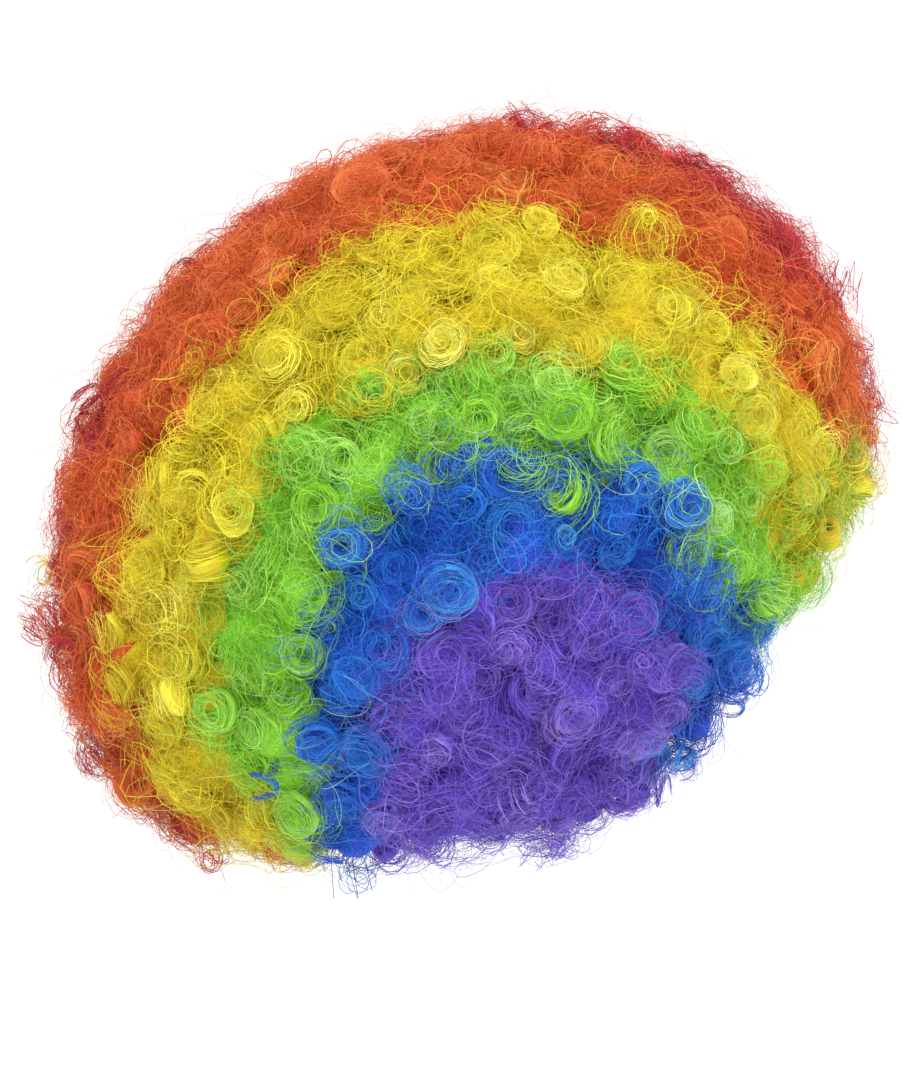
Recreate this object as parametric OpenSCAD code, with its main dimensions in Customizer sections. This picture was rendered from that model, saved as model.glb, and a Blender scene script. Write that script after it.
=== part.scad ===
// Jumbo curly costume wig on a stretch cap.
// Frame: millimetres, X across the head (+X is the wearer's left), -Y to the face, +Z up.
// The origin is the middle of the wearer's head at the height of the tops of the ears.

/* [Head form] */
// Half of the width of the head that the cap fits
head_half_width = 76; // [72:1:82]
// Half of the depth of the head, forehead to back
head_half_depth = 95; // [90:1:102]
// From the middle of the head form up to the crown
head_half_height = 112; // [106:1:118]
// Height of the head form's middle above the tops of the ears
head_middle = 20; // [16:1:24]

/* [Cap] */
// Room inside the cap for the adjuster straps and the wearer's own hair
cap_clearance = 2.8; // [2.6:0.1:4]
// Thickness of the open stretch net
net_thickness = 0.6; // [0.4:0.1:1]
// Height of the elastic band sewn round the rim
rim_height = 8; // [6:0.5:9]
// Thickness of the rim elastic
rim_thickness = 1.4; // [1:0.1:1.8]
// Width of the ribbons sewn over the crown seams
ribbon_width = 12; // [8:1:16]

/* [Hair] */
// Mean radius of the ball of curls
hair_radius = 198; // [192:1:204]
// How much the ball is stretched from low at the back to high at the front
hair_stretch = 22; // [16:1:26]
// How far the top of the hair is cut in, towards the forehead
crown_trim = 13; // [8:1:16]
// Height of the ball's middle
ball_middle = 47; // [42:1:52]
// Direction from the ball's middle to the middle of the colour rings, degrees below level
ring_drop = 32.7; // [28:0.1:36]
// Gap between neighbouring sections of hair
section_gap = 3; // [1:0.5:6]
// Share of its width that a section of hair keeps at its roots
root_share = 0.4; // [0.3:0.05:0.6]

/* [Wefts] */
// Height of a sewn weft track off the cap
weft_height = 2; // [1.4:0.2:2.4]
// Width of a sewn weft track
weft_width = 4; // [3:0.5:5]

/* [Nape adjusters] */
// Distance between two loops of the adjuster
loop_pitch = 5; // [4.5:0.5:6]
// Width of the elastic straps and of the loop tape
strap_width = 7; // [6:0.5:8]
// Thickness of the elastic straps
strap_thickness = 0.9; // [0.6:0.1:1.1]

/* [Ear tabs] */
// Length of an ear tab below the rim
tab_length = 20; // [14:1:24]
// Width of an ear tab at the rim
tab_width = 16; // [12:1:18]

/* [Hidden] */
// Smooth round surfaces of the small exact parts
$fn = 48;
// Clear air between sewn parts that lie edge to edge
seam = 0.3;

// Azimuth is in degrees from the face round to the left ear (90) and the nape (180).
RIM_LINE = [
    [0, 62], [30, 56], [52, 30], [66, -2], [76, 0], [90, 12], [112, 0], [124, -22], [138, -40], [160, -46], [180, -47]
];

// Offsets of the layers of the cap from the head form
net_in = cap_clearance;
net_out = net_in + net_thickness;
rim_out = net_in + rim_thickness;
ribbon_in = rim_out - 0.6;
ribbon_out = ribbon_in + 0.6;
weft_in = rim_out + 0.5;
weft_out = weft_in + weft_height;
root_offset = weft_out + 0.5;

// Where the ears, the face and the neck need room inside the curls
ear_room = 17;
face_half_width = 68;
neck_radius = 54;
fringe_height = 29;
fringe_droop = 0.2;

// Ring limits: [direction round the ring centre, angle from the ring centre].
// Direction 0 is to the face, 90 to the crown, 180 to the back and -90 down.
PURPLE_LIMIT = [
    [-105, 60], [-45, 60], [-37, 27], [-15, 29], [0, 27], [30, 25], [60, 22], [120, 23], [165, 25],
    [210, 24], [225, 31], [240, 36], [255, 60]
];
BLUE_LIMIT = [
    [-15, 60], [0, 43], [30, 30], [60, 36], [90, 36], [120, 38], [150, 34], [180, 31], [210, 32],
    [225, 38], [240, 46]
];
GREEN_LIMIT = [
    [0, 60], [10, 50], [15, 43], [30, 44], [50, 50], [90, 50], [135, 54], [165, 48], [195, 46],
    [212, 39], [225, 40], [240, 46]
];
YELLOW_LIMIT = [
    [15, 75], [30, 66], [45, 64], [60, 70], [90, 77], [120, 78], [150, 74], [180, 66], [195, 62],
    [225, 58]
];
ORANGE_LIMIT = [
    [-3, 84], [45, 84], [60, 88], [75, 97], [90, 110], [105, 117], [120, 114], [135, 108],
    [165, 93], [195, 75], [225, 61.5]
];
// Lower edge of the curls round the neck and the cheeks
EDGE_LIMIT = [
    [-105, 38], [-90, 37], [-60, 36], [-25, 36], [0, 45], [10, 57], [13, 66],
    [14, 130], [234, 130], [241, 55], [246, 44], [255, 38]
];
// Lower edge of the fringe over the forehead: [angle from the ring centre, direction]
FRINGE_LIMIT = [[60, 12], [68, 9], [79, 4], [90, -3]];

function mix(a, b, t) = a + (b - a) * t;
function clamp(x, low, high) = min(high, max(low, x));
function unit(v) = v / norm(v);

// ---- Head form and cap surfaces ----

function turn(azimuth) = let (a = (azimuth % 360 + 360) % 360) min(a, 360 - a);
function rim_z(azimuth) = lookup(turn(azimuth), RIM_LINE);
function crown_seam_z(azimuth) = 60 + 22 * cos(azimuth);
function latitude(z) = asin(clamp((z - head_middle) / head_half_height, -1, 1));

function head_point(azimuth, lat, off) = [
    (head_half_width + off) * sin(azimuth) * cos(lat),
    -(head_half_depth + off) * cos(azimuth) * cos(lat),
    head_middle + (head_half_height + off) * sin(lat)
];

function head_normal(azimuth, lat) = unit([
    sin(azimuth) * cos(lat) / head_half_width,
    -cos(azimuth) * cos(lat) / head_half_depth,
    sin(lat) / head_half_height
]);

// Closed shell between two grids of points, given as lists of rows of equal length
module shell(inner, outer) {
    rows = len(inner);
    cols = len(inner[0]);
    count = rows * cols;
    cells = [for (i = [0 : rows - 2], j = [0 : cols - 2]) i * cols + j];
    edge = concat(
        [for (j = [0 : cols - 2]) [j, j + 1]],
        [for (i = [0 : rows - 2]) [i * cols + cols - 1, (i + 1) * cols + cols - 1]],
        [for (j = [cols - 1 : -1 : 1]) [(rows - 1) * cols + j, (rows - 1) * cols + j - 1]],
        [for (i = [rows - 1 : -1 : 1]) [i * cols, (i - 1) * cols]]
    );
    faces = concat(
        [for (k = cells) [k, k + 1, k + cols + 1]],
        [for (k = cells) [k, k + cols + 1, k + cols]],
        [for (k = cells) [count + k, count + k + cols + 1, count + k + 1]],
        [for (k = cells) [count + k, count + k + cols, count + k + cols + 1]],
        [for (e = edge) [e[0], count + e[1], e[1]]],
        [for (e = edge) [e[0], count + e[0], count + e[1]]]
    );
    points = concat([for (row = inner, p = row) p], [for (row = outer, p = row) p]);
    polyhedron(points, faces, convexity = 6);
}

// Part of the cap between two azimuths and two heights, which are functions of the azimuth
module cap_patch(from, to, low_z, high_z, in, out, cols, rows) {
    grid = [for (off = [in, out]) [for (j = [0 : rows]) [for (i = [0 : cols])
        let (a = mix(from, to, i / cols), low = latitude(low_z(a)), high = latitude(high_z(a)))
        head_point(a, mix(low, high, j / rows), off)]]];
    shell(grid[0], grid[1]);
}

net_low = function (a) rim_z(a) + rim_height + 2 * seam;
net_high = function (a) crown_seam_z(a) - seam;
rim_low = function (a) rim_z(a);
rim_high = function (a) rim_z(a) + rim_height;

// The crown is a square grid wrapped onto the dome, so that no face is pinched at the top.
module crown_net() {
    cells = 16;
    grid = [for (off = [net_in, net_out]) [for (j = [0 : cells]) [for (i = [0 : cells])
        let (
            u = 2 * i / cells - 1,
            v = 2 * j / cells - 1,
            a = atan2(u, -v),
            low = latitude(crown_seam_z(a) + seam),
            lat = mix(90, low, max(abs(u), abs(v)))
        )
        head_point(a, lat, off)]]];
    color("gainsboro") shell(grid[0], grid[1]);
}

front_half_angle = 48;
side_gap = 0.4;

module forehead_band() {
    color("gainsboro")
    cap_patch(-front_half_angle, front_half_angle, net_low, net_high, net_in, net_out, 20, 2);
}

module side_net(side) {
    color("gainsboro")
    cap_patch(side * (front_half_angle + side_gap), side * 132, net_low, net_high, net_in, net_out, 18, 5);
}

module side_net_left() { side_net(1); }
module side_net_right() { mirror([1, 0, 0]) side_net(1); }

module nape_net() {
    color("gainsboro")
    cap_patch(132 + side_gap, 228 - side_gap, net_low, net_high, net_in, net_out, 20, 5);
}

module rim_elastic(from, to, cols) {
    color("white")
    cap_patch(from, to, rim_low, rim_high, net_in, rim_out, cols, 1);
}

module rim_elastic_front() { rim_elastic(-56, 56, 24); }
module rim_elastic_left() { rim_elastic(56 + side_gap, 124, 20); }
module rim_elastic_right() { mirror([1, 0, 0]) rim_elastic_left(); }
module rim_elastic_nape() { rim_elastic(124 + side_gap, 236 - side_gap, 28); }

module blank_label() {
    label_low = function (a) -26;
    label_high = function (a) -12;
    color("whitesmoke")
    cap_patch(171, 189, label_low, label_high, 1.4, 1.8, 6, 2);
}

// A ribbon over the crown from front to back, and two from its edges down to the ears
module crown_ribbons() {
    half = ribbon_width / 2;
    along = function (x, angle, off) let (k = sqrt(1 - pow(x / (head_half_width + off), 2)))
        [x, -(head_half_depth + off) * cos(angle) * k, head_middle + (head_half_height + off) * sin(angle) * k];
    across = function (y, angle, off) let (k = sqrt(1 - pow(y / (head_half_depth + off), 2)))
        [(head_half_width + off) * cos(angle) * k, y, head_middle + (head_half_height + off) * sin(angle) * k];
    long = [for (off = [ribbon_in, ribbon_out]) [for (x = [-half, 0, half]) [for (i = [0 : 30])
        along(x, mix(38, 198, i / 30), off)]]];
    edge_angle = acos((half + 1) / head_half_width);
    color("lightgrey") {
        shell(long[1], long[0]);
        for (flip = [0, 1])
            mirror([flip, 0, 0])
            let (cross = [for (off = [ribbon_in, ribbon_out]) [for (y = [-half, 0, half]) [for (i = [0 : 14])
                across(y, mix(8, edge_angle, i / 14), off)]]])
            shell(cross[1], cross[0]);
    }
}

// ---- Ear tabs ----

// Places its children on the cap: X along the rim towards the back of the left side, Y outward, Z down
module on_cap(azimuth, z, off) {
    lat = latitude(z);
    n = head_normal(azimuth, lat);
    u = unit(cross([0, 0, 1], n));
    w = cross(u, n);
    p = head_point(azimuth, lat, off);
    multmatrix([
        [u[0], n[0], w[0], p[0]],
        [u[1], n[1], w[1], p[1]],
        [u[2], n[2], w[2], p[2]],
        [0, 0, 0, 1]
    ])
    children();
}

tab_azimuth = 69;
tab_hem_radius = 0.9;
tab_thickness = 1.2;

module ear_tab_left() {
    color("silver")
    on_cap(tab_azimuth, rim_z(tab_azimuth) - 1.6, net_in + tab_hem_radius) {
        rotate([0, 90, 0])
        cylinder(r = tab_hem_radius, h = tab_width, center = true);
        rotate([90, 0, 0])
        translate([0, 0, -tab_thickness / 2])
        linear_extrude(tab_thickness)
        union() {
            translate([-tab_width / 2, 0])
            square([tab_width, tab_length - tab_width / 2]);
            translate([0, tab_length - tab_width / 2])
            circle(tab_width / 2);
        }
    }
}

module ear_tab_right() { mirror([1, 0, 0]) ear_tab_left(); }

// ---- Nape adjusters ----

// The adjuster lies on an arc about the nape. Places along it are in millimetres, inboard positive.
adjuster_azimuth = 165;
adjuster_drop = 5.5;
nape_arc_radius = 58;
tape_in = 2.2;
tape_out = 2.8;
loop_in = 0.2;
loop_out = 0.7;
tongue_in = 1.1;
tongue_out = 1.7;
tongue_half = 2;
hook_start = -21;
hook_end = -13;
tongue_end = 7.5;
loop_start = 0;
loop_width = 1.4;

module at_nape() {
    on_cap(adjuster_azimuth, rim_z(adjuster_azimuth) - adjuster_drop, 0)
    children();
}

// Curved strip from one place on the arc to another, between two offsets and two heights
module arc_strip(from, to, in, out, low, high) {
    a0 = from / nape_arc_radius * 180 / PI;
    a1 = to / nape_arc_radius * 180 / PI;
    translate([0, -nape_arc_radius, low])
    rotate([0, 0, 90 - a1])
    rotate_extrude(angle = a1 - a0, $fn = 180)
    translate([nape_arc_radius + in, 0])
    square([out - in, high - low]);
}

// A tape with three loops, and a tab that is sewn to the outside of the rim
module loop_tape_left() {
    half = strap_width / 2 + 0.5;
    foot = 0.8;
    tape_end = loop_start + 2 * loop_pitch + 4;
    tab_in = rim_out + 2 * seam;
    tab_out = tab_in + 0.6;
    color("white")
    at_nape() {
        arc_strip(-3, tape_end, tape_in, tape_out, -half, half);
        for (k = [0 : 2]) {
            at = loop_start + k * loop_pitch;
            arc_strip(at, at + loop_width, loop_in, loop_out, -half, half);
            for (low = [-half, half - foot])
                arc_strip(at, at + loop_width, loop_in, tape_in + 0.1, low, low + foot);
        }
        arc_strip(-3, tape_end, tape_in, tab_out, -half - 0.6, -half + 0.2);
        arc_strip(-3, tape_end, tab_in, tab_out, -adjuster_drop - 6, -half);
    }
}

module loop_tape_right() { mirror([1, 0, 0]) loop_tape_left(); }

// A plate with a slot for the strap and a tongue that goes under the loops
module hook_left() {
    half = strap_width / 2;
    slot_half = half - 1.2;
    color("dimgrey")
    at_nape() {
        difference() {
            arc_strip(hook_start, hook_end, tongue_in - 0.2, tongue_out + 0.2, -half, half);
            arc_strip(hook_start + 1.4, hook_start + 3.4, tongue_in - 1, tongue_out + 1, -slot_half, slot_half);
        }
        arc_strip(hook_end - 0.2, tongue_end, tongue_in, tongue_out, -tongue_half, tongue_half);
    }
}

module hook_right() { mirror([1, 0, 0]) hook_left(); }

// The strap follows the head from the hook and rises to where it is sewn inside the rim.
strap_from = 138;
strap_to = 121;
module strap_left() {
    hook_z = rim_z(adjuster_azimuth) - adjuster_drop + 1;
    rise = function (a) pow((strap_from - a) / (strap_from - strap_to), 2);
    low = function (a) mix(hook_z - strap_width / 2, rim_z(strap_to) + 0.5, rise(a));
    high = function (a) low(a) + strap_width - 0.4;
    color("white")
    cap_patch(strap_to, strap_from, low, high, 1.2, 1.2 + strap_thickness, 16, 2);
}

module strap_right() { mirror([1, 0, 0]) strap_left(); }

// ---- Rings of colour ----

// Unit direction at an angle from the ring centre, in a direction round it, on the left side
ring_x = cos(ring_drop);
ring_z = sin(ring_drop);
function ring_dir(angle, way) = [
    ring_x * cos(angle) + ring_z * sin(way) * sin(angle),
    -cos(way) * sin(angle),
    -ring_z * cos(angle) + ring_x * sin(way) * sin(angle)
];

// Angle at which a direction round the ring centre meets the middle plane of the head
function middle_angle(way) = let (side = ring_z * sin(way)) atan2(ring_x, -side);

function ring_limit(table, way) = min(lookup(way, table), lookup(way, EDGE_LIMIT), middle_angle(way));

// Outer surface of the curls along a direction from the ball's middle
function curl_radius(d) =
    let (
        side = 1 - d[0] * d[0],
        tilt = atan2(d[2], d[1]) + 38,
        low = max(0, -d[2]),
        back = max(0, d[1]),
        top = max(0, 0.94 * d[2] - 0.34 * d[1])
    )
    hair_radius + hair_stretch * side * side * cos(2 * tilt) - 3 * d[0] * d[0]
    + 6 * pow(low, 3) + 14 * back * low - crown_trim * pow(top, 4);

// Distance from the ball's middle to the head form, offset outward, along a direction
function head_exit(d, off) =
    let (
        h = [head_half_width + off, head_half_depth + off, head_half_height + off],
        lift = ball_middle - head_middle,
        a = pow(d[0] / h[0], 2) + pow(d[1] / h[1], 2) + pow(d[2] / h[2], 2),
        b = lift * d[2] / (h[2] * h[2]),
        c = lift * lift / (h[2] * h[2]) - 1
    )
    (-b + sqrt(b * b - a * c)) / a;

// Extra room below the rim beside the face, for the ears
function below_rim(d) =
    let (
        p = [0, 0, ball_middle] + head_exit(d, root_offset) * d,
        azimuth = turn(atan2(p[0], -p[1])),
        depth = clamp((rim_z(azimuth) + 4 - p[2]) / 12, 0, 1),
        beside = clamp((azimuth - 35) / 15, 0, 1) * clamp((145 - azimuth) / 15, 0, 1)
    )
    ear_room * depth * beside;

// Distance from the ball's middle to the innermost hair along a direction
function root_radius(d) =
    let (
        head = head_exit(d, root_offset + below_rim(d)),
        level = max(norm([d[0], d[1]]), 0.001),
        neck = d[2] < 0 ? neck_radius / level : 0,
        drop = d[2] - fringe_droop * d[1],
        fringe = drop > 0 ? fringe_height / drop : 10000,
        cheek = face_half_width / max(abs(d[0]), 0.001),
        face = d[1] < 0 ? min(cheek, fringe) : 0
    )
    max(head, neck, face);

function hair_point(d, radius) = [0, 0, ball_middle] + radius * d;
function root_point(d) = hair_point(d, min(root_radius(d), curl_radius(d) - min_curl_depth));
function curl_point(d) = hair_point(d, curl_radius(d));

min_curl_depth = 12;
gap_angle = section_gap / 2 / hair_radius * 180 / PI;

// A section of curls between two limits and two directions round the ring.
// Its outer grid keeps a gap to its neighbours, and its roots are drawn in towards its middle.
module curl_section(low_table, high_table, from, to, cols, rows) {
    place = function (f, g, keep) let (
            way = mix(from, to, 0.5 + (f - 0.5) * keep),
            low = ring_limit(low_table, way) + gap_angle,
            high = ring_limit(high_table, way) - gap_angle
        )
        [mix(low, high, 0.5 + (g - 0.5) * keep), way];
    outer = [for (j = [0 : rows]) [for (i = [0 : cols])
        let (
            s = place(i / cols, j / rows, 1),
            spread = gap_angle / sin(s[0])
        )
        curl_point(ring_dir(s[0], clamp(s[1], from + spread, to - spread)))]];
    inner = [for (j = [0 : rows]) [for (i = [0 : cols])
        let (s = place(i / cols, j / rows, root_share))
        root_point(ring_dir(s[0], s[1]))]];
    shell(inner, outer);
}

// The innermost ring is a square grid wrapped onto a round patch.
module ring_middle(cells) {
    place = function (i, j, keep) let (
            u = 2 * i / cells - 1,
            v = 2 * j / cells - 1,
            way = (atan2(v, u) + 465) % 360 - 105,
            size = keep * max(abs(u), abs(v))
        )
        ring_dir(size * (ring_limit(PURPLE_LIMIT, way) - gap_angle), way);
    outer = [for (j = [0 : cells]) [for (i = [0 : cells]) curl_point(place(i, j, 1))]];
    inner = [for (j = [0 : cells]) [for (i = [0 : cells]) root_point(place(i, j, root_share))]];
    shell(outer, inner);
}

// The fringe hangs over the forehead below the front rows of the rings.
module fringe_section(cols, rows) {
    place = function (f, g, keep) let (
            angle = mix(61, 84 - gap_angle, 0.5 + (f - 0.5) * keep),
            low = lookup(angle, FRINGE_LIMIT)
        )
        ring_dir(angle, mix(low, 14 - gap_angle, 0.5 + (g - 0.5) * keep));
    outer = [for (j = [0 : rows]) [for (i = [0 : cols]) curl_point(place(i / cols, j / rows, 1))]];
    inner = [for (j = [0 : rows]) [for (i = [0 : cols]) root_point(place(i / cols, j / rows, root_share))]];
    shell(outer, inner);
}

// The red rows run over the middle of the head, so a section has a left and a right half.
module red_section(from, to, cols, rows) {
    place = function (f, g, keep) let (
            way = mix(from, to, 0.5 + (f - 0.5) * keep),
            side = (2 * g - 1) * keep,
            low = lookup(way, ORANGE_LIMIT) + gap_angle,
            d = ring_dir(mix(middle_angle(way), low, abs(side)), way)
        )
        [side < 0 ? -d[0] : d[0], d[1], d[2]];
    end = gap_angle / (to - from);
    outer = [for (j = [0 : rows]) [for (i = [0 : cols]) curl_point(place(mix(end, 1 - end, i / cols), j / rows, 1))]];
    inner = [for (j = [0 : rows]) [for (i = [0 : cols]) root_point(place(i / cols, j / rows, root_share))]];
    shell(outer, inner);
}

// ---- Wefts ----

// A weft track lies on the cap at a share of the way between two limits, wherever the cap reaches.
module weft_row(low_table, high_table, share, from, to, cols) {
    angle = function (way) mix(len(low_table) > 0 ? lookup(way, low_table) : 0, lookup(way, high_table), share);
    seat = function (way) let (d = ring_dir(angle(way), way)) hair_point(d, head_exit(d, weft_in));
    sewn = function (p) p[2] > rim_z(atan2(p[0], -p[1])) + rim_height + weft_width / 2 && p[0] > weft_width / 2;
    ways = [for (i = [0 : cols]) mix(from, to, i / cols)];
    kept = [for (w = ways) if (sewn(seat(w))) w];
    half = weft_width / 2 / head_half_width * 180 / PI;
    if (len(kept) > 2)
        weft_strip([for (side = [-half, 0, half]) [for (w = kept) ring_dir(angle(w) + side, w)]]);
}

module weft_strip(dirs) {
    low = [for (row = dirs) [for (d = row) hair_point(d, head_exit(d, weft_in))]];
    high = [for (row = dirs) [for (d = row) hair_point(d, head_exit(d, weft_out))]];
    shell(low, high);
}

module curls(name, side) {
    mirror([side < 0 ? 1 : 0, 0, 0]) {
        if (name == "purple") color("mediumslateblue") ring_middle(14);
        if (name == "blue_front") color("dodgerblue") curl_section(PURPLE_LIMIT, BLUE_LIMIT, -34, 90, 17, 3);
        if (name == "blue_back") color("dodgerblue") curl_section(PURPLE_LIMIT, BLUE_LIMIT, 90, 240, 18, 3);
        if (name == "green_front") color("yellowgreen") curl_section(BLUE_LIMIT, GREEN_LIMIT, 8, 90, 12, 3);
        if (name == "green_back") color("yellowgreen") curl_section(BLUE_LIMIT, GREEN_LIMIT, 90, 236, 18, 3);
        if (name == "yellow_front") color("gold") curl_section(GREEN_LIMIT, YELLOW_LIMIT, 14, 65, 9, 4);
        if (name == "yellow_top") color("gold") curl_section(GREEN_LIMIT, YELLOW_LIMIT, 65, 125, 10, 4);
        if (name == "yellow_back") color("gold") curl_section(GREEN_LIMIT, YELLOW_LIMIT, 125, 234, 16, 4);
        if (name == "orange_front") color("orangered") curl_section(YELLOW_LIMIT, ORANGE_LIMIT, 15, 65, 9, 4);
        if (name == "orange_top") color("orangered") curl_section(YELLOW_LIMIT, ORANGE_LIMIT, 65, 125, 10, 4);
        if (name == "orange_back") color("orangered") curl_section(YELLOW_LIMIT, ORANGE_LIMIT, 125, 234, 16, 4);
        if (name == "fringe") color("gold") fringe_section(6, 3);
    }
}

module wefts(name, side) {
    mirror([side < 0 ? 1 : 0, 0, 0]) {
        if (name == "purple") color("mediumslateblue")
            for (f = [0.55, 0.85]) weft_row([], PURPLE_LIMIT, f, 10, 230, 44);
        if (name == "blue") color("dodgerblue")
            for (f = [0.25, 0.75]) weft_row(PURPLE_LIMIT, BLUE_LIMIT, f, -10, 240, 50);
        if (name == "green") color("yellowgreen")
            for (f = [0.25, 0.75]) weft_row(BLUE_LIMIT, GREEN_LIMIT, f, 8, 236, 46);
        if (name == "yellow") color("gold")
            for (f = [0.2, 0.5, 0.8]) weft_row(GREEN_LIMIT, YELLOW_LIMIT, f, 14, 234, 44);
        if (name == "orange") color("orangered")
            for (f = [0.2, 0.5, 0.8]) weft_row(YELLOW_LIMIT, ORANGE_LIMIT, f, 15, 234, 38);
        if (name == "red") color("crimson")
            weft_row([], ORANGE_LIMIT, 1.06, 15, 230, 44);
    }
}

module wefts_red() {
    for (side = [-1, 1]) wefts("red", side);
}

crown_net();
forehead_band();
side_net_left();
side_net_right();
nape_net();
crown_ribbons();
rim_elastic_front();
rim_elastic_left();
rim_elastic_right();
rim_elastic_nape();
blank_label();
ear_tab_left();
ear_tab_right();
loop_tape_left();
loop_tape_right();
strap_left();
strap_right();
hook_left();
hook_right();
for (name = ["purple", "blue", "green", "yellow", "orange"]) {
    wefts(name, 1);
    wefts(name, -1);
}
wefts_red();
for (name = ["purple", "blue_front", "blue_back", "green_front", "green_back", "yellow_front", "yellow_top",
        "yellow_back", "orange_front", "orange_top", "orange_back", "fringe"]) {
    curls(name, 1);
    curls(name, -1);
}
color("crimson") red_section(-3, 60, 10, 6);  // curls_red_front
color("crimson") red_section(60, 125, 10, 6);  // curls_red_top
color("crimson") red_section(125, 234, 16, 6);  // curls_red_back
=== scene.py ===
"""A jumbo rainbow costume wig: rings of coloured ringlets on a stretch net cap.

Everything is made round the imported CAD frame. Lengths are in millimetres until a mesh is made.
Front is -Y, +Z is up, and the wearer's left is +X.
"""

import bmesh
import bpy
import numpy as np
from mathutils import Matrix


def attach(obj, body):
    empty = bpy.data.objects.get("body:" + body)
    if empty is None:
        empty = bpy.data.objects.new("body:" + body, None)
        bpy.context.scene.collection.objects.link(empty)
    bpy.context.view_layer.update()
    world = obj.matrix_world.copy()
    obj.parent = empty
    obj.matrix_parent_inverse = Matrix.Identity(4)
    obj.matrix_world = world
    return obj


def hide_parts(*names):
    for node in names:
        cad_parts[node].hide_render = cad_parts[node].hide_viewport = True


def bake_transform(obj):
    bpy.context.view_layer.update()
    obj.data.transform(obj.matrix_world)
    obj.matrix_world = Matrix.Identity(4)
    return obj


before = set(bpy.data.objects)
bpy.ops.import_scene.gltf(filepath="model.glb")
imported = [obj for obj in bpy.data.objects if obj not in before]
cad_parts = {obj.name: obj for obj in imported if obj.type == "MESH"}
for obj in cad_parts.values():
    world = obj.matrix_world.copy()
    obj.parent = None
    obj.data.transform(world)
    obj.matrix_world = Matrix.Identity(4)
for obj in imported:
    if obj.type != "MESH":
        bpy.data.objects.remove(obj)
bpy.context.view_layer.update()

MM = 0.001
rng = np.random.default_rng(20)

# ---------------------------------------------------------------- shape of the hair, as in the CAD model

HEAD = np.array([76.0, 95.0, 112.0])  # half the width, depth and height of the head form
HEAD_MIDDLE = 20.0  # height of its middle
BALL = np.array([0.0, 0.0, 47.0])  # middle of the ball of curls
HAIR_RADIUS = 198.0
HAIR_STRETCH = 22.0  # how far the ball is stretched towards the top front and the low back
STRETCH_TILT = np.radians(38)  # slope of the line that it is stretched along
CROWN_TRIM = 13.0  # how far it is flattened again at the top front
RING_DROP = np.radians(32.7)  # how far below level the middle of the rings lies, from the ball's middle
ROOT_OFFSET = 7.2  # from the head to the innermost hair
EAR_ROOM = 17.0  # added to that below the rim, beside the ears
FACE_HALF_WIDTH = 68.0  # of the gap in the hair in front of the face
NECK_RADIUS = 54.0
FRINGE_HEIGHT = 29.0  # of the underside of the fringe over the ball's middle
FRINGE_DROOP = 0.2  # its slope towards the front
FRINGE_WAY = 14.0  # the fringe hangs below this direction round the rings
FRINGE_START = 60  # it starts at this angle from their middle
FRINGE_ANGLE = 84.0  # and is yellow up to this one
FIRST_WAY = -105  # directions round the rings run from this one, low in front, to 255

# The rim of the cap: azimuth from the front and height
# Outer edges of the rings and of all the hair: direction round the rings and angle from their middle
# Lower edge of the fringe: angle and direction
RIM_LINE = [(0, 62), (30, 56), (52, 30), (66, -2), (76, 0), (90, 12), (112, 0), (124, -22), (138, -40),
            (160, -46), (180, -47)]
PURPLE_LIMIT = [(-105, 60), (-45, 60), (-37, 27), (-15, 29), (0, 27), (30, 25), (60, 22), (120, 23),
                (165, 25), (210, 24), (225, 31), (240, 36), (255, 60)]
BLUE_LIMIT = [(-15, 60), (0, 43), (30, 30), (60, 36), (90, 36), (120, 38), (150, 34), (180, 31), (210, 32),
              (225, 38), (240, 46)]
GREEN_LIMIT = [(0, 60), (10, 50), (15, 43), (30, 44), (50, 50), (90, 50), (135, 54), (165, 48), (195, 46),
               (212, 39), (225, 40), (240, 46)]
YELLOW_LIMIT = [(15, 75), (30, 66), (45, 64), (60, 70), (90, 77), (120, 78), (150, 74), (180, 66), (195, 62),
                (225, 58)]
ORANGE_LIMIT = [(-3, 84), (45, 84), (60, 88), (75, 97), (90, 110), (105, 117), (120, 114), (135, 108),
                (165, 93), (195, 75), (225, 61.5)]
EDGE_LIMIT = [(-105, 38), (-90, 37), (-60, 36), (-25, 36), (0, 45), (10, 57), (13, 66), (14, 130),
              (234, 130), (241, 55), (246, 44), (255, 38)]
FRINGE_LIMIT = [(60, 12), (68, 9), (79, 4), (90, -3)]

COLOURS = ["purple", "blue", "green", "yellow", "orange", "red"]
PURPLE, BLUE, GREEN, YELLOW, ORANGE, RED = range(6)
LIMITS = [PURPLE_LIMIT, BLUE_LIMIT, GREEN_LIMIT, YELLOW_LIMIT, ORANGE_LIMIT]
# How far, in degrees, each colour's locks spread over the edge of its section
BLEED = [-1.9, 0.5, 0.8, -0.3, 0.0]

# What the CAD sections of curls are called after their colour
PARTS = ["front", "top", "back", "", "fringe"]
WHOLE, FRINGE = 3, 4
SIDES = ["", "left", "right"]
# Directions round the rings at which they are cut into front, top and back
MIDDLE_CUT, TOP_START, RED_TOP_START, TOP_END = 90, 65, 60, 125

# Room for the coils at the cut edges, in degrees, and the ragged lower edge of the hair
EDGE_ROOM = 3.3
LOWEST_LOCK = -135.0
LOWEST_RAGGED = 4.0
RAGGED_WAVE = np.array([31, 23, 0])

# Tufts of locks: waves over the unit sphere, their height and how far the surface sits below the CAD one
TUFT_WAVES = [(29, 5, 17), (-13, 31, 9), (7, -19, 29), (23, 21, -15), (-27, 11, 21)]
TUFT_RISE = 2.8
TUFT_DEPTH = 2.0


def keyed(x, table):
    """Value at x of a line through a table's points."""
    return np.interp(x, [k for k, _ in table], [v for _, v in table])


def unit(v):
    return v / np.maximum(np.linalg.norm(v, axis=-1, keepdims=True), 1e-9)


def rays(vectors, lengths):
    """Each vector times each of its own lengths."""
    return vectors.reshape(len(vectors), *[1] * (lengths.ndim - 1), 3) * lengths[..., None]


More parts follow.
